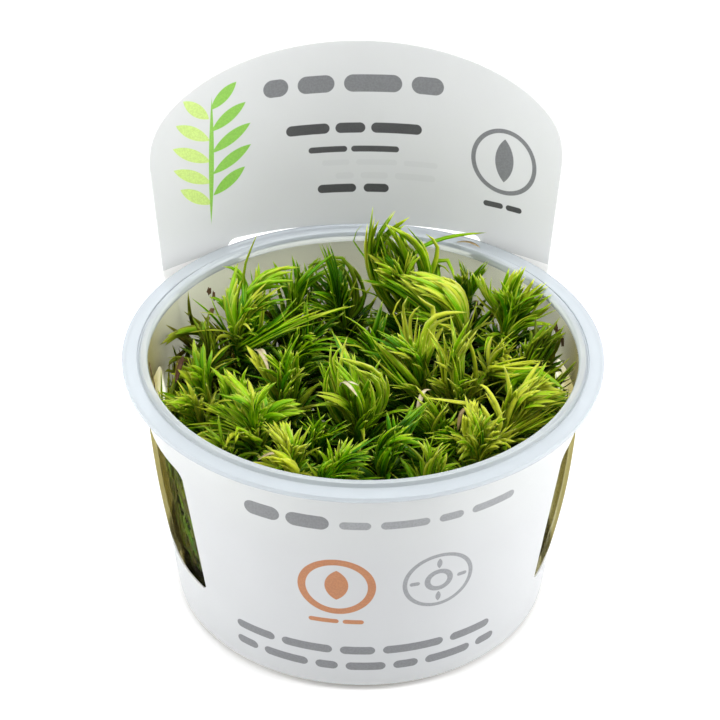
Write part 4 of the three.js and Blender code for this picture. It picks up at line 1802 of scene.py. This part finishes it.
SHOOTS = (
    Shoot("back_tall", Kind.FRESH, (11, 26, 50), (-4, 3, 4), (
        Blade((6, 25.5, 52), (2, 31, 60), (3.5, 33, 73), 2.0),
        Blade((7, 25.5, 52), (2.5, 32.5, 62), (8, 32.5, 72), 2.0, 0.5),
        Blade((9.5, 26, 53), (3.5, 33, 63), (11.5, 31.5, 71), 1.8, 0.6),
        Blade((15, 25.5, 52), (15, 30.5, 63), (6.5, 30, 70), 1.8, 0.5),
        Blade((11.5, 26, 53), (12, 30.5, 60), (6, 31, 70)),
        Blade((12, 26.5, 52), (10.5, 30.5, 60), (4.5, 32, 67)),
        Blade((8.5, 27, 53), (7, 30.5, 60), (5, 30.5, 67)),
        Blade((11, 33, 60), (20, 38.8, 61.2), (29.5, 40.6, 61.0), 1.2, 0.45, 0.1, 0),
        Blade((9, 29.2, 58), (4.5, 29.1, 61), (1.9, 30.1, 63), 1.8, 0.95, 0.0, 1),
        Blade((9.5, 27, 54), (9, 30.5, 62), (5.5, 31.5, 68), 1.4, 0.25, 0.5, 2),
        Blade((16.5, 28, 59), (18, 31, 64), (15, 32.5, 66), 1.4, 0.75, 0.0, 1),
        Blade((1, 35, 60), (-1, 37.5, 62), (1.5, 37, 66), 0.8, 0.5, 0.0, 0),
    ), 13, 10, 0.04),
    Shoot("back_swirl", Kind.FRESH, (22, 17, 49), (-8, 4, 2), (
        Blade((23.2, 18.5, 53), (21.5, 23.0, 58.5), (9.7, 24.6, 60.5), 1.7, 0.66, 0.0, 12),
        Blade((22.5, 17.8, 53), (19.0, 22.6, 58.5), (8.7, 24.9, 60), 1.7, 0.66, 0.0, 12),
        Blade((20, 18.5, 52), (15.5, 21.5, 58), (6, 27, 60.5), 1.6, 0.55, 0.0, 10),
        Blade((18, 19, 51), (12.5, 21, 57), (4, 26.5, 60), 1.5, 0.45, 0.0, 10),
        Blade((16, 30.5, 59), (20.3, 33.0, 59.5), (21.5, 28, 56), 1.5, 0.42, 0.2, 1),
    ), 11, 9, 0.08),
    Shoot("left_back", Kind.FRESH, (-26, 17, 50), (5, 3, 1), (
        Blade((-26, 14, 50), (-18, 14, 55), (-11.5, 19, 58), 2.0),
        Blade((-24.5, 12, 50), (-15, 12.5, 56), (-0.5, 17, 58), 2.0, 0.6),
        Blade((-27, 21, 52), (-21, 27.5, 60), (-12.5, 29, 60)),
        Blade((-27.5, 21.5, 52), (-22.5, 24, 59), (-13.5, 27, 58)),
        Blade((-26, 18.5, 51), (-29.5, 24, 55), (-32.5, 25.5, 55), 1.5, 0.35),
        Blade((-24.5, 25.5, 56), (-25, 28.5, 60), (-21.5, 33.5, 66.5), 0.7, 0.6, 0.5, 0),
        Blade((-24, 24, 55), (-25.5, 30, 59), (-29.5, 31.5, 59), 1.5, 0.35),
        Blade((-26.5, 16.5, 51), (-28, 22.5, 56), (-26, 31.5, 60)),
        Blade((-21, 19.5, 50), (-21.5, 25, 57), (-21.5, 31.5, 60)),
    ), 12),
    Shoot("left_star", Kind.FRESH, (-22, -16, 48), (-2, 3, 0), (
        Blade((-22.5, -15, 49), (-24.5, -8.5, 53), (-30, -2, 54), 2.2, 0.65),
        Blade((-22.5, -16, 49), (-29, -13, 52), (-34.5, -7, 51), 1.8, 0.65),
        Blade((-22.5, -16.5, 49), (-27.5, -13, 52), (-31, -10.5, 53)),
        Blade((-23, -17, 49), (-28, -14, 51), (-31, -12.5, 52)),
        Blade((-23, -17, 48), (-29, -15, 51), (-37.5, -13, 49), 1.6, 0.7),
        Blade((-21.5, -16, 49), (-19.5, -13, 53), (-13, -10.5, 52), 2.0),
        Blade((-21.5, -16, 49), (-17.5, -14, 52), (-12, -11.5, 51)),
        Blade((-22, -18.5, 49), (-26.5, -18.5, 53), (-26.5, -21.5, 50), 1.2, 0.7),
        Blade((-28, -6, 50), (-29, -4.5, 54), (-32, -0.5, 55), 1.4, 0.5),
        Blade((-24.5, -9.5, 50), (-26.5, -5, 53), (-27, -2, 55), 1.4, 0.5),
        Blade((-24.5, -6, 50), (-25.5, -4.5, 54), (-24, -2.5, 56), 1.4, 0.5),
        Blade((-23.1, -21.1, 51), (-25.6, -21.4, 54), (-26.9, -22.6, 51), 1.5, 0.8, 0.0, 0),
    ), 11),
    Shoot("centre_bud", Kind.FRESH, (-1, -9, 44), (-3, 6, 4), (
        Blade((-5.5, -8.5, 45), (-8.5, -4, 52), (-6, 0.5, 56), 1.8, 0.6),
        Blade((-3, -8.5, 45), (-5.5, -4, 52), (-5.5, 0.5, 56), 1.8, 0.6),
        Blade((3, -8, 46), (5, -3.5, 54), (-5.5, -1, 57), 1.4, 0.75),
        Blade((0.5, -10, 45), (1.5, -4.5, 52), (-5, 0, 56), 1.8, 0.6),
        Blade((-4, -8.5, 45), (-6, -3.5, 49), (-9, 2, 54), 1.6, 0.5),
        Blade((-6.5, -1.5, 56), (-5.5, 1, 57), (-4, 2, 58), 1.2, 0.7),
    ), 12),
    Shoot("centre_spiky", Kind.YELLOW, (20, -1, 44), (-1, 3, 4), (
        Blade((24, -1, 48), (23.5, 1, 55), (22.0, 4.5, 58), 1.3, 0.95, 0.0, 2),
        Blade((17.5, -1, 48), (17.5, 2, 55), (17.0, 4.5, 59), 1.3, 0.9, 0.0, 3),
    ), 13, 15, 0.08),
    Shoot("right_back", Kind.DARK, (32, 18, 49), (3, 2, 3), (
        Blade((32, 21, 50), (33.5, 23, 57), (36.5, 25, 62), 1.6, 0.45),
        Blade((32.5, 21, 50), (32.5, 23, 57), (35, 24, 61), 1.6, 0.4),
        Blade((32.5, 20, 50), (37, 20.5, 56), (41, 20, 60), 1.6, 0.5),
        Blade((32.5, 20, 50), (38, 19, 55), (41.5, 17.5, 59.5), 1.6, 0.4),
        Blade((32, 18, 50), (38, 16, 54), (42, 13, 58.5), 1.6, 0.5),
        Blade((32, 24, 54), (27.5, 23, 56), (26, 25, 60), 1.2, 0.5),
        Blade((31, 20.5, 53), (28, 21, 56), (27, 24.5, 60), 1.2, 0.5),
    ), 11, 10, 0.16),
    Shoot("right_front", Kind.FRESH, (29, -15, 48), (7, 3, 1), (
        Blade((27.5, -15.5, 48), (30, -13.5, 53), (33.5, -12.5, 57), 1.8, 0.5),
        Blade((28, -16, 48), (32.5, -11, 56), (41.5, -11, 54), 1.8, 0.6),
        Blade((28.5, -16, 48), (33.5, -14, 53), (40, -11, 52), 1.8, 0.6),
        Blade((29.5, -17, 48), (34.5, -16.5, 51), (40.5, -12.5, 52), 1.6, 0.6),
        Blade((28.5, -14, 48), (32.5, -11.5, 54), (39, -12, 54)),
    ), 11, 10, 0.26),
    Shoot("front_right", Kind.FRESH, (22, -24, 47), (0, 2, 2), (
        Blade((23, -22, 48), (24.5, -20, 54), (23, -17, 56), 2.0, 0.7),
        Blade((23.5, -22, 48), (24.5, -21.5, 54), (26.5, -23, 55)),
        Blade((24, -22, 48), (26.5, -24, 53), (29.5, -22, 55)),
        Blade((23, -22.5, 48), (26.5, -25.5, 53), (29, -25, 50)),
        Blade((22.5, -22.5, 48), (20.5, -24, 51), (18.5, -25, 48)),
        Blade((22, -22, 48), (20.5, -22, 53), (22, -17, 57), 2.4, 0.85),
        Blade((23.1, -15.8, 54), (18, -17, 56.5), (11.1, -13.0, 55), 1.0, 0.85, 0.2, 0),
        Blade((27.8, -20.4, 53), (25.0, -12.5, 56.5), (23.4, -7.5, 54), 1.0, 0.8, 0.0, 0),
    ), 11, 10, 0.25),
    Shoot("centre_pale", Kind.FRESH, (12, 3, 46), (-3, 2, 3), (
        Blade((12, 1, 47), (8, 2.5, 52), (3.5, 7, 56), 2.2, 0.75),
        Blade((13.5, 4.5, 48), (10, 7, 53), (7.5, 7.5, 57), 2.0, 0.7),
        Blade((11, 0, 46), (6, 2.5, 51), (2.5, 7.5, 54), 2.0, 0.6),
        Blade((12.5, 8, 49), (14.5, 13, 57.5), (23.2, 14.8, 57), 1.5, 0.88, 0.0, 2),
        Blade((9.1, 14.7, 53), (6.6, 14.8, 57), (9.2, 18.8, 58.5), 1.1, 0.92, 0.0, 1),
        Blade((9.8, 16.7, 54), (9.2, 17.6, 57), (10.5, 18.5, 59), 1.0, 0.85, 0.0, 1),
        Blade((10.5, 14.3, 54), (11.1, 14.9, 57), (13.2, 17.1, 57.5), 1.0, 0.95, 0.0, 1),
        Blade((16.7, 17.0, 56), (13.8, 17.1, 58.2), (12.3, 17.3, 60), 1.6, 0.9, 0.0, 1),
    ), 12),
    Shoot("left_brown", Kind.OLIVE, (-33, 12, 46), (-1, 3, 1), (
        Blade((-30.9, 22.6, 48), (-37.6, 18.1, 52), (-43.1, 10.3, 53), 1.7, 0.5, 0.75, 4),
        Blade((-38.5, 12.5, 48), (-39.3, 7.3, 48.5), (-39.6, 4.4, 47), 1.3, 0.1, 1.0, 1),
        Blade((-31.5, 25.5, 44), (-36.5, 23.5, 49), (-37, 24.5, 57.5), 1.3, 0.4, 0.8, 2),
        Blade((-31, 25.5, 44), (-34.5, 26, 47.5), (-38, 22.5, 53.5), 1.2, 0.5, 0.7, 3),
        Blade((-37, 22.5, 46.5), (-39, 19, 50), (-41.5, 15, 55), 1.2, 0.4, 0.9, 2),
        Blade((-28, 23, 44), (-31.5, 24.5, 47), (-34.5, 27, 50), 1.2, 0.4, 0.7, 4),
        Blade((-30, 24, 42), (-37, 22, 44.5), (-41.5, 11.5, 46.5), 1.2, 0.3, 0.9, 3),
        Blade((-32, 14, 42), (-38, 11, 47.5), (-40.5, 2, 42), 1.3, 0.45, 0.6, 5),
        Blade((-33, 12, 40), (-39, 6, 44.5), (-41.5, -3, 38), 1.3, 0.4, 0.7, 5),
        Blade((-34, 10, 38), (-40, 9.5, 41.5), (-41.2, 9, 46), 1.6, 0.3, 0.5, 4),
        Blade((-34, 5, 38), (-40.3, 6, 42.5), (-41.5, 7.5, 47), 1.5, 0.3, 0.5, 4),
    ), 9, 3),
    Shoot("back_dark", Kind.DARK, (-3, 28, 46), (-3, 4, 3), (
        Blade((-4, 27, 46), (-12.5, 32.5, 52), (-8, 40, 56), 1.2, 0.42, 0.3, 4),
        Blade((-2.5, 29.5, 47), (-11.5, 35, 55), (-7.5, 39.5, 56), 1.2, 0.45, 0.4, 3),
        Blade((1, 31, 50), (-2.5, 37, 58.5), (-9.5, 37.5, 55), 1.0, 0.45, 0.5, 2),
        Blade((3, 31, 50), (-2.5, 38, 57.5), (-12, 36.5, 52), 0.9, 0.45, 0.5, 1),
        Blade((-3.5, 29, 46), (-7.5, 31.5, 52), (-2.5, 33, 54), 1.2, 0.40, 0.2, 4),
    ), 12),
    Shoot("left_middle", Kind.FRESH, (-16, -1, 45), (0, 2, 4), (
        Blade((-18.5, -0.5, 46), (-20, 3, 50), (-21, 4, 55)),
        Blade((-15.5, -1, 46), (-15, 1.5, 52), (-15, 2, 57)),
        Blade((-14.5, -1, 46), (-14, 1.5, 52), (-13.5, 1, 57)),
        Blade((-18.5, -4.5, 46), (-21, -3.5, 50), (-22, -0.5, 51)),
        Blade((-17, -2.5, 46), (-16, -3.5, 51), (-14, -2.5, 53)),
        Blade((-19.5, 1.5, 50), (-21, 2.5, 52), (-24.5, 8.5, 54), 2.4, 0.95),
    ), 11),
    Shoot("front_left", Kind.YELLOW, (-16, -28, 47), (-1, 3, 2), (
        Blade((-17, -28.5, 50), (-17, -25.5, 54), (-19, -20.5, 55), 1.8, 0.7),
        Blade((-16, -28.5, 50), (-15.5, -25.5, 54), (-16.5, -21.5, 56), 1.8, 0.7),
        Blade((-16, -29, 50), (-17.5, -25.5, 53), (-20, -22.5, 54), 1.8, 0.7),
        Blade((-15, -33, 52), (-18, -32.5, 55), (-22, -31, 54), 2.4, 0.95, 0.2),
    ), 10),
    Shoot("front_centre", Kind.FRESH, (-7, -32, 47), (3, 1, 1), (
        Blade((-10.5, -31.5, 50), (-8, -31.5, 53), (-5, -30, 53)),
        Blade((-10, -32.5, 50), (-6, -31.5, 53), (-1.5, -30, 52)),
        Blade((-9.5, -32.5, 50), (-5, -33, 52), (-1, -33, 51)),
        Blade((-6, -27.5, 48), (-5, -26.5, 52), (-5.5, -25.5, 54)),
    ), 10, 10, -0.06),
    Shoot("front_middle", Kind.DARK, (3, -24, 45), (4, 4, 2), (
        Blade((3, -25.5, 46), (6.5, -21, 50), (10.5, -14.5, 53), 2.4, 0.5),
        Blade((2, -25.5, 46), (3.5, -24, 50), (9, -21, 51), 1.8, 0.45),
    ), 11, 9, -0.08),
    Shoot("left_yellow", Kind.YELLOW, (-34, -8, 46), (-5, 2, 1), (
        Blade((-35, -7, 47), (-38.5, -5, 49), (-43.5, 1.5, 47), 2.0, 0.75),
        Blade((-34, -6, 47), (-37, -5.5, 49), (-41, -3, 48), 1.8, 0.75),
        Blade((-34, -6.5, 47), (-38, -7.5, 49), (-41, -5, 48), 1.8, 0.7),
    ), 10),
    Shoot("left_pale", Kind.FRESH, (-33, 2, 44), (-4, 3, 2), (
        Blade((-32.5, 2.5, 44), (-34.5, 2.5, 48), (-37, 5, 50), 2.6, 0.85),
    ), 11),
    Shoot("right_brown", Kind.OLIVE, (35, 5, 48), (5, 4, 2), (
        Blade((35, 3, 50), (37, 6.5, 54), (41, 9.5, 57), 1.5, 0.5, 0.5),
        Blade((36, 3.5, 50), (38.5, 6.5, 54), (42.5, 11, 58), 1.5, 0.5, 0.6),
        Blade((37, 4, 49), (39.5, 6, 53), (41, 10.5, 56), 1.5, 0.4, 0.6),
        Blade((41, -2.5, 49), (42, -3, 52), (44, -6, 57), 1.4, 0.4, 0.7),
        Blade((35, 8, 38), (39.5, 12, 41), (40, 14.5, 45), 1.5, 0.3, 0.5, 4),
        Blade((36, 4, 38), (41, 5, 43), (41.3, 9, 46.5), 1.5, 0.3, 0.5, 4),
    ), 10),
    Shoot("right_middle", Kind.YELLOW, (28, 5, 48), (4, -2, 1), (
        Blade((26.5, 2.5, 50), (30.5, -1, 54), (37.5, -0.5, 54), 1.8, 0.8),
        Blade((27, 2.5, 50), (31.5, -4, 53), (36.5, -2, 54), 1.8, 0.8),
        Blade((26.3, -2.5, 55), (32.2, -6.3, 56.5), (38.2, -4.5, 56), 1.3, 0.95, 0.0, 2),
    ), 10, 10, 0.14),
    Shoot("right_low", Kind.DARK, (34, -7, 46), (6, -1, 1), (
        Blade((29.5, -2.5, 50), (34.5, -4, 56), (42, -8, 52), 1.8, 0.4),
    ), 10, 10, 0.10),
    Shoot("front_low", Kind.FRESH, (14, -17, 44), (-2, -1, 2), (
        Blade((18, -18.5, 48), (14.5, -20.5, 51), (11.5, -21, 50)),
        Blade((18, -20, 48), (14.5, -23.5, 50), (11, -23.5, 49)),
        Blade((18, -20.5, 48), (14.5, -26, 50), (11.5, -27, 49)),
        Blade((19, -18.5, 48), (15.5, -20, 53), (16.5, -21, 53)),
        Blade((13, -15.5, 46), (10.5, -14.5, 49), (13.5, -11, 52)),
        Blade((14, -15.5, 46), (13.5, -13, 49), (14, -11, 52)),
    ), 11, 10, -0.08),
    Shoot("middle_low", Kind.DARK, (3, 11, 44), (-3, 3, 3), (), 12),
    Shoot("left_low", Kind.DARK, (-14, 11, 46), (4, 2, 2), (), 12),
    Shoot("back_left_low", Kind.DARK, (-15, 28, 46), (3, 4, 2), (), 12),
    Shoot("front_edge", Kind.OLIVE, (-28, -23, 45), (-4, -1, 1), (), 10),
    Shoot("front_inner", Kind.DARK, (-10, -17, 42), (1, -2, 3), (), 11, 9, -0.14),
    Shoot("left_inner", Kind.FRESH, (-25, -5, 43), (0, 0, 3), (), 10),
    Shoot("back_right_low", Kind.DARK, (24, 30, 46), (1, 2, 3), (), 12),
    Shoot("front_gap", Kind.FRESH, (12, -31, 45), (0, 1, 2), (), 10),
)


# The studio


@dataclass
class Viewpoint:
    """Where the camera stands: its distance from the rim's middle, its angles and its lens."""

    rim: float = 59.0
    distance: float = 450.0
    elevation: float = 34.60
    pitch: float = 34.98
    yaw: float = -0.10
    roll: float = 0.60
    turn: float = -3.0
    focal_pixels: float = 2167.0
    nearest: float = 0.01
    farthest: float = 20.0

    def build(self) -> None:
        """Makes the camera and sets it as the scene's own."""
        high, pitch = math.radians(self.elevation), math.radians(self.pitch)
        yaw, roll = math.radians(self.yaw), math.radians(self.roll)
        eye = Vector((0, -self.distance * math.cos(high), self.distance * math.sin(high) + self.rim))
        ahead = Vector((math.sin(yaw) * math.cos(pitch), math.cos(yaw) * math.cos(pitch), -math.sin(pitch)))
        level = ahead.cross(UP).normalized()
        upright = level.cross(ahead)
        right = level * math.cos(roll) + upright * math.sin(roll)
        up = upright * math.cos(roll) - level * math.sin(roll)
        place = Matrix((right, up, -ahead)).transposed().to_4x4()
        place.translation = eye * MM
        data = bpy.data.cameras.new("photo_camera")
        data.sensor_width = SENSOR
        data.lens = self.focal_pixels * SENSOR / PHOTO_SIDE
        data.clip_start, data.clip_end = self.nearest, self.farthest
        camera = bpy.data.objects.new("photo_camera", data)
        camera.matrix_world = Matrix.Rotation(math.radians(self.turn), 4, "Z") @ place
        bpy.context.scene.collection.objects.link(camera)
        bpy.context.scene.camera = camera


@dataclass(frozen=True)
class Softbox:
    """A square soft light: where it stands, where it looks, its side and its power."""

    name: str
    place: Point
    aim: Point
    side: float
    power: float

    def build(self) -> None:
        """Makes the light."""
        data = bpy.data.lights.new(self.name, "AREA")
        data.shape, data.size, data.energy = "SQUARE", self.side, self.power
        light = bpy.data.objects.new(self.name, data)
        light.location = self.place
        light.rotation_euler = (Vector(self.aim) - Vector(self.place)).to_track_quat("-Z", "Y").to_euler()
        bpy.context.scene.collection.objects.link(light)


@dataclass
class Studio:
    """The pale floor, the soft lights round the cup and the camera."""

    floor_side: float = 6.0
    floor_drop: float = 0.0002
    floor_cells: int = 8
    ambient: float = 0.33
    viewpoint: Viewpoint = field(default_factory=Viewpoint)
    softboxes: tuple[Softbox, ...] = (
        Softbox("overhead_light", (0.0, 0.1, 1.3), (0.0, 0.0, 0.05), 1.2, 15.8),
        Softbox("left_light", (-1.2, -0.15, 0.6), (0.0, 0.0, 0.07), 0.8, 11.5),
        Softbox("right_light", (1.2, -0.15, 0.6), (0.0, 0.0, 0.07), 0.8, 14.3),
    )

    def build(self) -> None:
        """Makes the floor, the lights, the surroundings and the camera."""
        bm = bmesh.new()
        bmesh.ops.create_grid(bm, x_segments=self.floor_cells, y_segments=self.floor_cells,
                              size=self.floor_side / 2)
        bmesh.ops.translate(bm, verts=bm.verts[:], vec=-self.floor_drop * UP)
        floor = placed(bm, "studio_floor", PaleFloor().material())
        world = bpy.data.worlds.new("studio_world")
        world.use_nodes = True
        world.node_tree.nodes["Background"].inputs["Strength"].default_value = self.ambient
        world.node_tree.nodes["Background"].inputs["Color"].default_value = (1, 1, 1, 1)
        bpy.context.scene.world = world
        bpy.context.scene.view_settings.view_transform = "Standard"
        for softbox in self.softboxes:
            softbox.build()
        self.viewpoint.build()


def main() -> None:
    """Builds the cup, the sleeve, the gel and the shoots, and sets the studio round them."""
    logging.basicConfig(level=logging.INFO, format="%(name)s: %(message)s", stream=sys.stdout)
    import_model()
    Studio().build()
    clear = ClearPlastic().material()
    rim = ClearPlastic("rim_plastic", RIM_BLUE, RIM_BLUE, 0.45, 0.20, 1.45).material()
    cup = Cup.from_frame()
    sleeve = Sleeve(cup=cup, bottom=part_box("label_sleeve")[0].z / MM)
    cup.build(clear, rim, sleeve.openings)
    # Painted light and shade: the same sheet gets a different white on each part. The inside is painted
    # much lighter, as light coming through the sheet; the panel a little darker than the tongue, as shade
    # under the flange; the tongue lighter, as light coming through it from behind.
    plain = PrintedSheet("plain_sheet_painted_light", (0.94, 0.94, 0.93)).material()
    panel = PrintedSheet("panel_print", (0.555, 0.570, 0.584), panel_prints()).material()
    tongue = PrintedSheet("tongue_print", (0.600, 0.612, 0.618), tongue_prints()).material()
    blank = PrintedSheet("blank_sheet").material()
    sleeve.build(plain, panel, tongue, blank)
    gel = GelLayer(cup=cup, top=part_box("growth_medium")[1].z / MM)
    gel.build(GrowthGel().material())
    leaf = Leaf(cup)
    tissues = {kind: LeafTissue(kind.value).material() for kind in Kind}
    for shoot in SHOOTS:
        Plant(shoot, leaf, gel.top + gel.gap).build(tissues[shoot.kind])
    Scraps(leaf).build(DeadTissue().material())


if __name__ == "__main__":
    main()
